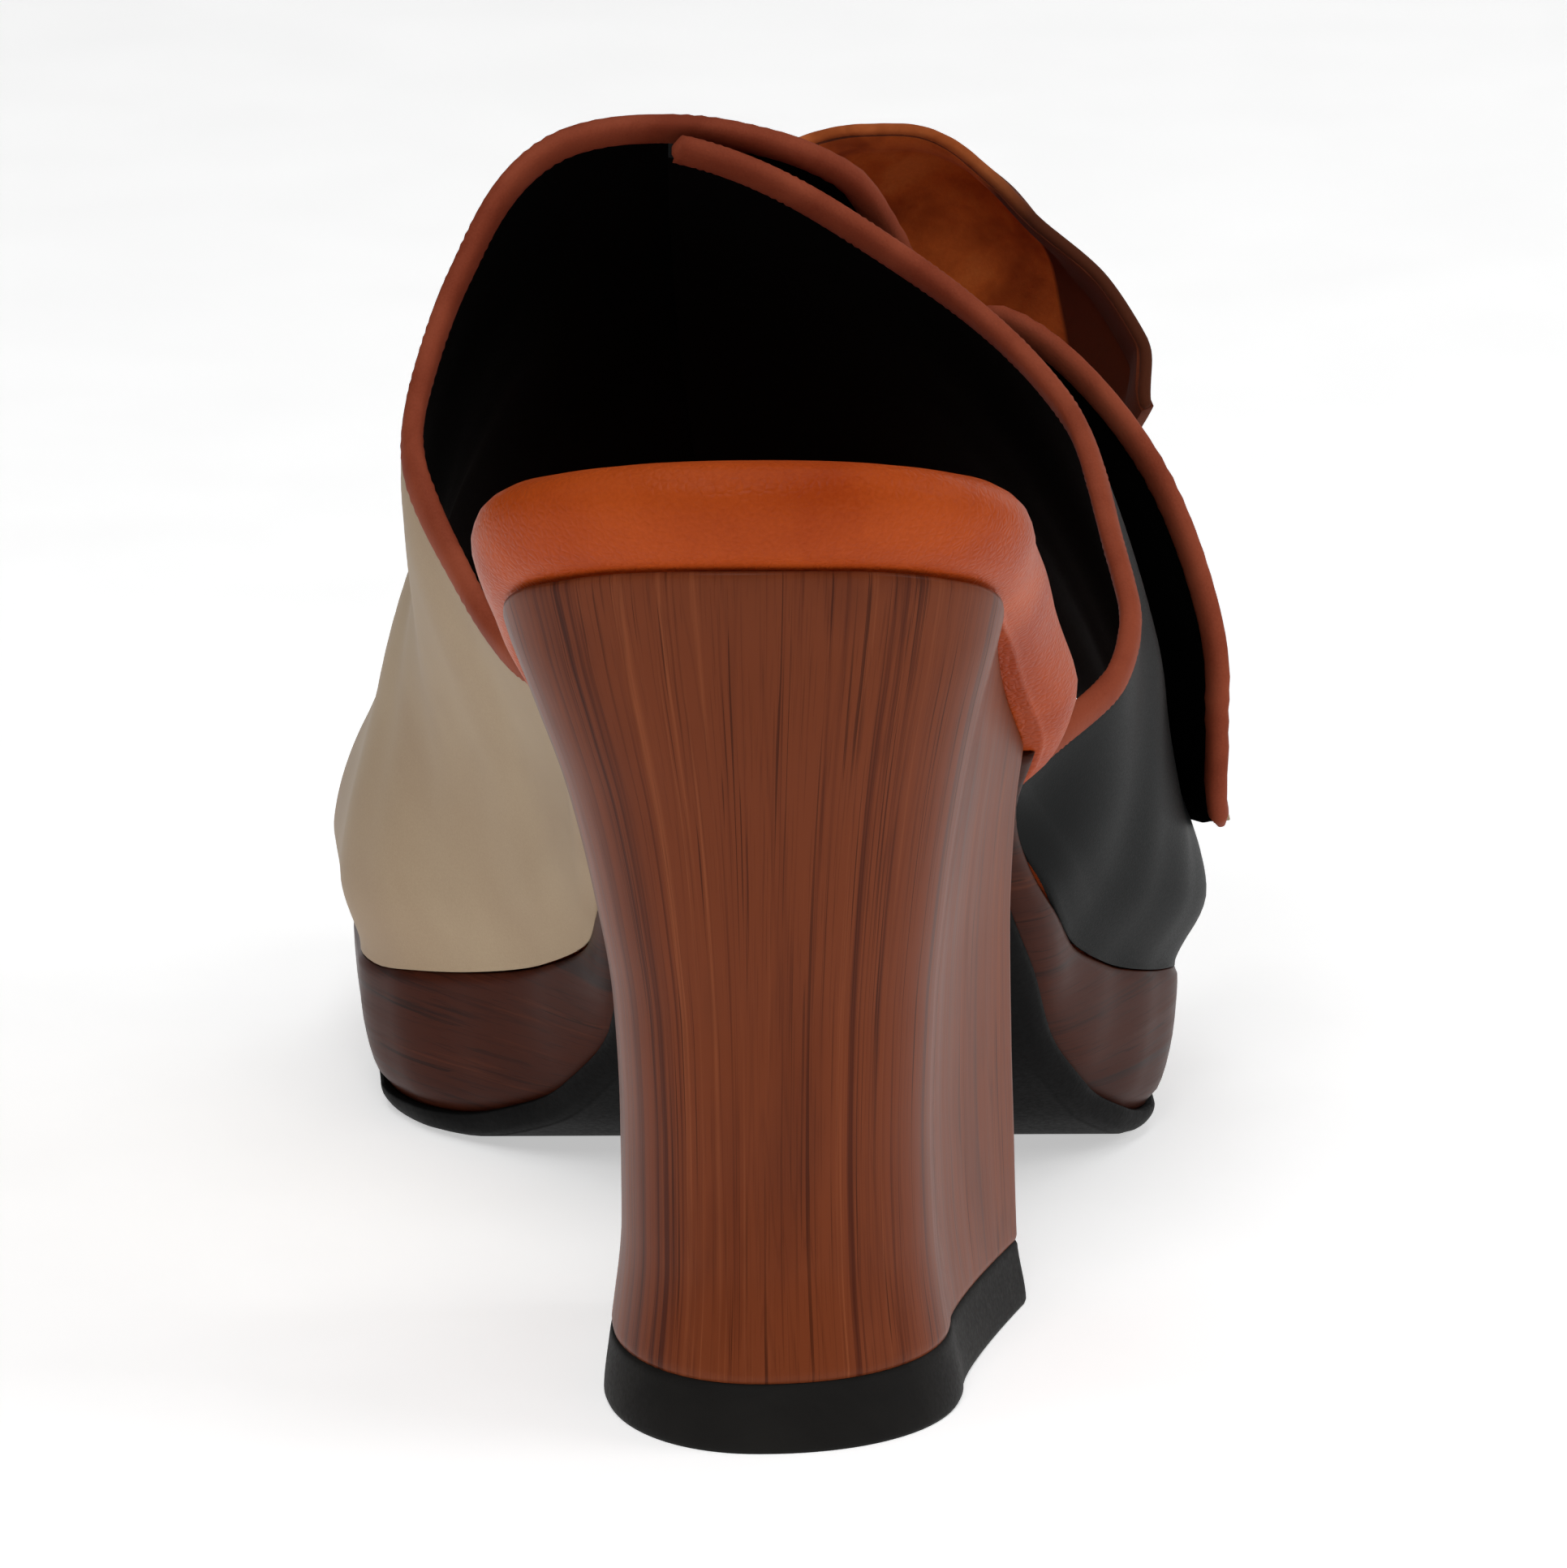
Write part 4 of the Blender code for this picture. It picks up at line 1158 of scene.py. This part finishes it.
@dataclass
class Binding:
    """Rolled leather edge that is folded over a panel's rear edge."""

    width: float = 2.1 * MM
    overlap: float = 1.5 * MM
    proud: float = 0.30 * MM
    gather: float = 0.06 * MM
    gathers: float = 900.0
    drift: float = 37.0
    end_reach: float = 0.006
    end_share: float = 0.45

    def frame(self, sheet: Sheet, u: np.ndarray, wall: float,
              ) -> tuple[np.ndarray, np.ndarray, np.ndarray]:
        """Middle of the wall, outward and normal directions along a panel's rear edge.

        Args:
            sheet: points of the panel from u, v and a distance above its inner face.
            u: places along the edge.
            wall: thickness of the panel.

        Returns:
            The points, the directions away from the panel, and its normals.
        """
        step, zero = 0.002, np.zeros_like(u)
        edge = sheet(u, zero, zero + wall / 2)
        inward = sheet(u, zero + 2 * step, zero + wall / 2) - edge
        along = unit(sheet(np.minimum(u + step, 1.0), zero, zero + wall / 2)
                     - sheet(np.maximum(u - step, 0.0), zero, zero + wall / 2))
        normal = sheet(u, zero, zero + wall / 2 + MM) - edge
        normal = unit(normal - along * np.sum(normal * along, -1, keepdims=True))
        out = np.cross(along, normal)
        out = out * -np.sign(np.sum(out * inward, -1, keepdims=True))
        return edge, out, normal

    def roll(self, name: str, sheet: Sheet, wall: float, first: float, end: float,
             crowding: float, place: Line, rows: int = 260) -> bpy.types.Object:
        """Make the binding.

        Args:
            name: name of the piece.
            sheet: the panel's points.
            wall: thickness of the panel.
            first: where the binding starts along the edge.
            end: where it ends.
            crowding: how the places are drawn towards the panel's foot.
            place: brings points to the shoe's frame.
            rows: faces along it.

        Returns:
            The piece.
        """
        def shape(u: np.ndarray, v: np.ndarray) -> np.ndarray:
            """Points of the binding, u round it and v along it."""
            share = (first + (end - first) * v) ** crowding
            edge, out, normal = self.frame(sheet, share, wall)
            centre = edge + out * (self.width - self.overlap)
            ends = np.clip(np.minimum(v, 1 - v) / self.end_reach, 0.0, 1.0)
            ends = np.sqrt(np.clip(1 - (1 - ends) ** 2, 0.0, 1.0)) * (1 - self.end_share) + self.end_share
            pucker = self.gather * np.sin(v * self.gathers) * np.sin(v * self.drift)
            wide = (self.width + pucker) * ends
            high = (wall / 2 + self.proud + pucker) * ends
            return place(Workshop.rod(centre, out, normal, wide, high, u))

        return Workshop.mould(name, 16, rows, shape, closed=True)


@dataclass
class Upper:
    """Wrapped beige panel with its free flap, charcoal lateral panel, lining and bindings."""

    last: Last
    crossing: float = 2.4 * MM
    flap_stand: float = 8.5 * MM
    crowding: float = 1.38
    turn: float = 0.88
    tuck_under: float = 7.0 * MM
    tuck_forward: float = 0.6 * MM
    tuck_down: float = 1.2 * MM
    tuck_reach: float = 0.15
    tuck_step: SoftStep = SoftStep(0.0, 0.22)
    girth: float = 62 * MM
    calm_step: SoftStep = SoftStep(0.0, 0.08)
    fold_round: float = 0.35 * MM
    wrap_low: float = 0.338
    wrap_high: float = 0.550
    wrap_power: float = 2.05
    wrap_pull: float = 0.040
    pull_step: SoftStep = SoftStep(0.28, -0.24)
    wrap_rear_end: float = 1.885
    wrap_front_end: float = 1.86
    wrap_tuck: float = 1.3
    wrap_tuck_way: Place = (-0.75, 1.0, 1.0)
    lap_sink: float = 0.25 * MM
    lap_step: SoftStep = SoftStep(0.55, 0.37)
    crossing_step: SoftStep = SoftStep(0.68, 0.24)
    settle_step: SoftStep = SoftStep(0.0, 0.62)
    side_low: float = 0.330
    side_high: float = 0.541
    side_power: float = 2.2
    side_turn: float = 0.8
    side_bow: float = 0.020
    bow_start: float = 1.6
    bow_reach: float = 0.6
    side_front: tuple[float, float] = (0.765, 0.025)
    binding: Binding = field(default_factory=Binding)
    flap_rear: Curve = Curve(
        (.88, 1.00, 1.12, 1.20, 1.26, 1.32, 1.37, 1.42, 1.50, 1.62, 1.74, 1.82, 1.88, 2.00),
        (.550, .550, .551, .557, .580, .615, .618, .596, .581, .572, .570, .574, .596, .640))
    front: Curve = Curve((0.0, 0.5, 1.0, 1.5, 2.0), (0.775, 0.800, 0.820, 0.800, 0.760))
    stand: Curve = Curve(
        (1.08, 1.28, 1.45, 1.60, 1.72, 1.82, 1.88, 2.00), (0.0, 0.36, 0.88, 1.0, 0.82, 0.40, 0.05, 0.0))
    creases: tuple[Crease, ...] = (
        Crease(0.34, 0.500, 58, 17 * MM, 10 * MM, -0.22 * MM),
        Crease(0.20, 0.580, 76, 15 * MM, 9 * MM, -0.30 * MM),
        Crease(0.62, 0.640, 70, 20 * MM, 8 * MM, -0.45 * MM),
        Crease(0.86, 0.730, 84, 20 * MM, 6 * MM, -0.35 * MM),
        Crease(1.66, 0.600, 75, 15 * MM, 8 * MM, -0.35 * MM),
        Crease(1.76, 0.480, 62, 14 * MM, 9 * MM, -0.40 * MM),
    )

    def relief(self, around: np.ndarray, y: np.ndarray) -> np.ndarray:
        """Height of the creases.

        Args:
            around: places across the foot, as for foot_point.
            y: lengths from the seat's back.

        Returns:
            The height at each place, in metres.
        """
        total = np.zeros_like(y)
        for crease in self.creases:
            dx = (around - crease.around) * self.girth
            dy = y - crease.along * self.last.length
            angle = math.radians(crease.turn)
            along = dy * math.cos(angle) + dx * math.sin(angle)
            across = dx * math.cos(angle) - dy * math.sin(angle)
            reach = (along / crease.reach) ** 2 + (across / crease.width) ** 2
            total = total + crease.depth * np.exp(-reach)
        return total * self.calm_step(np.minimum(around, 2 - around))

    def wrap_rear(self, around: np.ndarray) -> np.ndarray:
        """Rear edge of the wrapped panel.

        Args:
            around: places across the foot, as for foot_point.

        Returns:
            The edge's lengths from the seat's back.
        """
        climb = np.clip(1 - around / self.turn, 0.0, 1.0)
        medial = self.wrap_low + (self.wrap_high - self.wrap_low) * (1 - climb ** self.wrap_power)
        medial = medial - self.wrap_pull * self.pull_step(around)
        return self.last.length * np.where(around < self.turn, medial, self.flap_rear(around))

    def wrap_off(self, around: np.ndarray, v: np.ndarray) -> np.ndarray:
        """How far the wrapped panel's inner face stands off the foot.

        Args:
            around: places across the foot, as for foot_point.
            v: share from the panel's rear edge to its front edge.

        Returns:
            The distance at each place.
        """
        over = (self.last.upper_wall - self.lap_sink) * self.lap_step(around)
        crossing = self.crossing * self.crossing_step(around)
        flap = (self.flap_stand - self.crossing) * self.stand(around)
        return over + (crossing + flap) * (1 - self.settle_step(v))

    def wrap(self, u: np.ndarray, v: np.ndarray, off: np.ndarray) -> np.ndarray:
        """Points of the wrapped panel.

        Args:
            u: share from its medial foot to the flap's tip.
            v: share from its rear edge to its front edge.
            off: distance above its inner face.

        Returns:
            The points, one row each.
        """
        around = u * (self.wrap_rear_end + (self.wrap_front_end - self.wrap_rear_end) * v)
        rear = self.wrap_rear(around)
        y = rear + (self.last.length * self.front(around) - rear) * v
        stand = self.wrap_off(around, v) + off + self.relief(around, y)
        return self.last.over_foot(around, y, stand) + self.tail(self.wrap_tuck * u, v) * self.wrap_tuck_way

    def side(self, u: np.ndarray, v: np.ndarray, off: np.ndarray) -> np.ndarray:
        """Points of the lateral panel.

        Args:
            u: share from its lateral foot towards the crest.
            v: share from its rear edge to its front edge.
            off: distance above its inner face.

        Returns:
            The points, one row each.
        """
        around = 2 - u
        climb = np.clip(1 - (2 - around) / self.side_turn, 0.0, 1.0)
        rear = self.side_low + (self.side_high - self.side_low) * (1 - climb ** self.side_power)
        bow = np.clip((self.bow_start - around) / self.bow_reach, 0.0, 1.0)
        rear = rear + self.side_bow * np.sin(math.pi * bow)
        front = self.side_front[0] + self.side_front[1] * u
        y = self.last.length * (rear + (front - rear) * v)
        point = self.last.over_foot(around, y, off + self.relief(around, y))
        return point + self.tail(u, v)

    def panel(self, name: str, sheet: Sheet, columns: int, rows: int) -> bpy.types.Object:
        """Leather panel with its lining and its folded edge.

        Args:
            name: name of the piece.
            sheet: the panel's points.
            columns: faces across the foot.
            rows: faces along it.

        Returns:
            The piece.
        """
        wall = self.last.upper_wall

        def shape(u: np.ndarray, v: np.ndarray) -> np.ndarray:
            """Outer face of the panel."""
            return self.last.place(sheet(u ** self.crowding, v, np.full_like(u, wall)))

        piece = Workshop.mould(name, columns, rows, shape)
        Upper.face_out(piece, self.last)
        Workshop.thicken(piece, wall, self.fold_round)
        return piece

    @staticmethod
    def face_out(piece: bpy.types.Object, last: Last) -> None:
        """Turn an open sheet so that its faces look away from the foot.

        Args:
            piece: the sheet.
            last: the foot's form.
        """
        mesh = bmesh.new()
        mesh.from_mesh(piece.data)
        middle = Vector((0.0, last.back + 0.6 * last.length, 40 * MM))
        looks_out = sum((face.calc_center_median() - middle).dot(face.normal) for face in mesh.faces)
        if looks_out < 0:
            bmesh.ops.reverse_faces(mesh, faces=mesh.faces)
        mesh.to_mesh(piece.data)
        mesh.free()

    def tail(self, u: np.ndarray, v: np.ndarray) -> np.ndarray:
        """Shift that curls a panel's rear corner in under the footbed.

        Args:
            u: share from the panel's foot.
            v: share from its rear edge.

        Returns:
            The shift of each place, as for the lateral side.
        """
        tail = np.clip(1 - u / self.tuck_reach, 0.0, 1.0) * (1 - self.tuck_step(v))
        way = (-self.tuck_under * tail ** 1.5, self.tuck_forward * tail, -self.tuck_down * tail ** 2)
        return np.stack(way, -1)

    def build(self, palette: Palette) -> None:
        """Make and dress both panels and their bindings.

        Args:
            palette: the shoe's materials.
        """
        wall, place = self.last.upper_wall, self.last.place
        wrapped = self.panel("wrapped_panel", self.wrap, columns=150, rows=54)
        Workshop.dress(wrapped, "beige", palette.beige, palette.lining, palette.beige)
        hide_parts("upper")
        lateral = self.panel("lateral_panel", self.side, columns=96, rows=54)
        Workshop.dress(lateral, "beige", palette.charcoal, palette.lining, palette.charcoal)
        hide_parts("upper")
        collar = self.binding.roll("collar_roll", self.wrap, wall, 0.060, 0.999, self.crowding, place)
        Workshop.dress(collar, "rust", palette.rust)
        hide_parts("collar_binding")
        edge = self.binding.roll("lateral_roll", self.side, wall, 0.03, 0.997, self.crowding, place)
        Workshop.dress(edge, "rust", palette.rust)
        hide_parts("lateral_binding")


@dataclass
class Petal:
    """Cupped suede leaf that stands on the lateral side of the vamp."""

    last: Last
    upper: Upper
    height: float = 18.8 * MM
    wall: float = 1.6 * MM
    first: float = 1.09
    end: float = 1.55
    rim: float = 0.600
    foot: float = 0.735
    edge_round: float = 0.4 * MM
    floor_wall: float = 0.5 * MM
    floor_lift: float = 0.35 * MM
    floor_back: float = 0.6 * MM
    floor_first: float = 0.03
    floor_short: float = 0.07
    waves: tuple[Swell, ...] = (
        Swell(0.34, 0.10, 0.7 * MM), Swell(0.55, 0.09, -0.6 * MM), Swell(0.78, 0.08, 0.6 * MM))
    profile: Curve = Curve((0.0, 0.25, 0.5, 0.75, 1.0), (0.76, 1.0, 0.92, 0.52, 0.0))
    stand: Curve = Curve((0.0, 0.10, 0.22, 0.36, 0.50, 0.64, 0.78, 0.90, 1.0),
                         (.25, .60, .86, .97, .90, .70, .60, .54, .25))
    lip: Binding = field(default_factory=lambda: Binding(
        width=0.7 * MM, overlap=0.7 * MM, proud=-0.12 * MM, gather=0.02 * MM))

    def under(self, around: np.ndarray, y: np.ndarray) -> np.ndarray:
        """How far the vamp below the petal stands off the foot.

        Args:
            around: places across the foot, as for foot_point.
            y: lengths from the seat's back.

        Returns:
            The distance at each place.
        """
        rear = self.upper.wrap_rear(around)
        front = self.last.length * self.upper.front(around)
        share = np.clip((y - rear) / (front - rear), 0.0, 1.0)
        return self.upper.wrap_off(around, share) + self.last.upper_wall + 2 * self.last.gap

    def ripple(self, u: np.ndarray, v: np.ndarray) -> np.ndarray:
        """Soft waves of the leaf, placed one by one."""
        return sum(wave(u) for wave in self.waves) * (1 - v) ** 0.5

    def sheet(self, u: np.ndarray, v: np.ndarray, off: np.ndarray) -> np.ndarray:
        """Points of the petal.

        Args:
            u: share from its medial to its lateral end.
            v: share from its rim to its foot.
            off: distance above its inner face.

        Returns:
            The points, one row each.
        """
        around = self.first + (self.end - self.first) * u
        y = self.last.length * (self.rim + (self.foot - self.rim) * v)
        stand = self.height * self.stand(u) * self.profile(v) + self.ripple(u, v)
        return self.last.over_foot(around, y, self.under(around, y) + stand + off)

    def floor(self, u: np.ndarray, v: np.ndarray, off: np.ndarray) -> np.ndarray:
        """Points of the suede that lines the vamp inside the petal.

        Args:
            u: share from its medial to its lateral end.
            v: share from the panel's rear edge to the petal's foot.
            off: distance above the vamp.

        Returns:
            The points, one row each.
        """
        around = self.first + self.floor_first + (self.end - self.first - self.floor_short) * u
        rear = self.upper.wrap_rear(around) + self.floor_back
        y = rear + (self.last.length * self.foot - rear) * v
        hold = self.under(around, y) - 1.5 * self.last.gap
        return self.last.over_foot(around, y, hold + off)

    def build(self, palette: Palette) -> None:
        """Make and dress the leaf, the suede under it and its rim.

        Args:
            palette: the shoe's materials.
        """
        place = self.last.place

        def leaf(u: np.ndarray, v: np.ndarray) -> np.ndarray:
            """Outer face of the leaf."""
            return place(self.sheet(u, v, np.full_like(u, self.wall)))

        def ground(u: np.ndarray, v: np.ndarray) -> np.ndarray:
            """Face of the suede floor."""
            return place(self.floor(u, v, np.full_like(u, self.floor_lift)))

        petal = Workshop.mould("petal_leaf", 80, 40, leaf)
        Upper.face_out(petal, self.last)
        Workshop.thicken(petal, self.wall, self.edge_round)
        Workshop.dress(petal, "suede", palette.petal_back, palette.petal_face, palette.petal_back)
        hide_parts("petal")
        bottom = Workshop.mould("petal_floor", 60, 30, ground)
        Upper.face_out(bottom, self.last)
        Workshop.thicken(bottom, self.floor_wall)
        Workshop.dress(bottom, "suede", palette.suede, palette.suede, palette.suede)
        rim = self.lip.roll("petal_rim", self.sheet, self.wall, 0.004, 0.996, 1.0, place, rows=160)
        Workshop.dress(rim, "rust", palette.petal_rim)
        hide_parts("petal_binding")


@dataclass
class Studio:
    """Pale floor that glows in a painted pool of light, soft lights and the camera."""

    eye: Place = (-18 * MM, -1594 * MM, 426 * MM)
    aim: Place = (3.7 * MM, -60 * MM, 48 * MM)
    lens: float = 333.0
    backdrop: float = 0.36
    dim: float = 0.08
    # Painted light: strength of the floor's own glow, though the floor is no lamp.
    glow: float = 0.54
    lit: Place = (0.0, -40 * MM, 50 * MM)
    floor_size: float = 6.0
    lights: tuple[tuple[str, Place, float, float], ...] = (
        ("lateral_panel_light", (1.5, -0.3, 0.8), 1.0, 7.5),
        ("medial_panel_light", (-1.5, -0.5, 0.9), 1.0, 2.6),
        ("top_panel_light", (0.0, -0.3, 1.7), 1.5, 10.0),
        ("rear_panel_light", (-0.3, -1.7, 1.5), 0.8, 12.0),
        ("far_lateral_panel_light", (1.0, 0.95, 0.5), 1.0, 3.2),
    )

    def floor(self) -> None:
        """Large pale floor that glows in a painted pool of light round the shoe."""
        mesh = bmesh.new()
        bmesh.ops.create_grid(mesh, x_segments=4, y_segments=4, size=self.floor_size)
        floor = Workshop.finish("studio_floor", mesh)
        graph = Graph("pale_floor")
        speck = graph.noise(graph.place(), 30.0, 3.0)
        colour = graph.mix(graph.span(speck, 0.3, 0.7), paint(245, 245, 245), paint(248, 248, 248))
        # Painted light: the floor's emission lights it in a pool round the shoe, though it is no lamp.
        floor.data.materials.append(graph.set(Base_Color=colour, Roughness=0.9, Specular_IOR_Level=0.1,
                                              Emission_Color=colour, Emission_Strength=self.pool(graph)))

    def pool(self, graph: Graph) -> Socket:
        """Painted light: brightness of the floor's glow, which falls off in a soft pool round the shoe.

        Args:
            graph: the floor's nodes.

        Returns:
            The brightness.
        """
        x, y, _ = graph.split(graph.place())
        wide = graph.span(graph.math("ABSOLUTE", x), 0.13, 0.34, 1.0, 0.15)
        behind = graph.span(y, -0.22, -0.45, 1.0, 0.15)
        return graph.math("MULTIPLY", graph.math("MULTIPLY", wide, behind), self.glow)

    def light(self, name: str, place: Place, size: float, power: float) -> None:
        """One soft panel light that looks at the shoe.

        Args:
            name: name of the light.
            place: where it hangs.
            size: side of the panel.
            power: watts.
        """
        lamp = bpy.data.lights.new(name, "AREA")
        lamp.energy, lamp.size = power, size
        item = bpy.data.objects.new(name, lamp)
        item.location = place
        look = Vector(self.lit) - Vector(place)
        item.rotation_euler = look.to_track_quat("-Z", "Y").to_euler()
        bpy.context.scene.collection.objects.link(item)

    def sky(self) -> None:
        """White surroundings that darken behind the camera."""
        world = bpy.data.worlds.new("studio_sky")
        bpy.context.scene.world = world
        world.use_nodes = True
        tree = world.node_tree
        background = tree.nodes["Background"]
        compass = tree.nodes.new("ShaderNodeSeparateXYZ")
        tree.links.new(tree.nodes.new("ShaderNodeTexCoord").outputs["Generated"], compass.inputs[0])
        fall = tree.nodes.new("ShaderNodeMapRange")
        tree.links.new(compass.outputs[1], fall.inputs["Value"])
        fall.inputs["From Min"].default_value, fall.inputs["From Max"].default_value = -0.9, 0.15
        fall.inputs["To Min"].default_value, fall.inputs["To Max"].default_value = self.dim, self.backdrop
        tree.links.new(fall.outputs[0], background.inputs["Strength"])
        bpy.context.scene.view_settings.view_transform = "Standard"

    def camera(self) -> None:
        """Camera at the photograph's angle, on the one shoe."""
        lens = bpy.data.cameras.new("camera")
        lens.lens, lens.sensor_width = self.lens, 36.0
        lens.clip_start, lens.clip_end = 0.05, 30.0
        camera = bpy.data.objects.new("camera", lens)
        camera.location = self.eye
        camera.rotation_euler = (Vector(self.aim) - Vector(self.eye)).to_track_quat("-Z", "Y").to_euler()
        bpy.context.scene.collection.objects.link(camera)
        bpy.context.scene.camera = camera

    def build(self) -> None:
        """Set the whole studio."""
        self.floor()
        self.sky()
        for name, place, size, power in self.lights:
            self.light(name, place, size, power)
        self.camera()


def main() -> None:
    """Build the shoe piece by piece and set the studio round it."""
    logging.basicConfig(level=logging.INFO)
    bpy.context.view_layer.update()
    last = Last()
    palette = Palette.mixed()
    heel = Heel(last)
    heel.build(palette)
    Sole(last, heel.breast() + last.gap).build(palette)
    upper = Upper(last)
    upper.build(palette)
    Petal(last, upper).build(palette)
    Studio().build()
    bpy.context.view_layer.update()


if __name__ == "__main__":
    main()
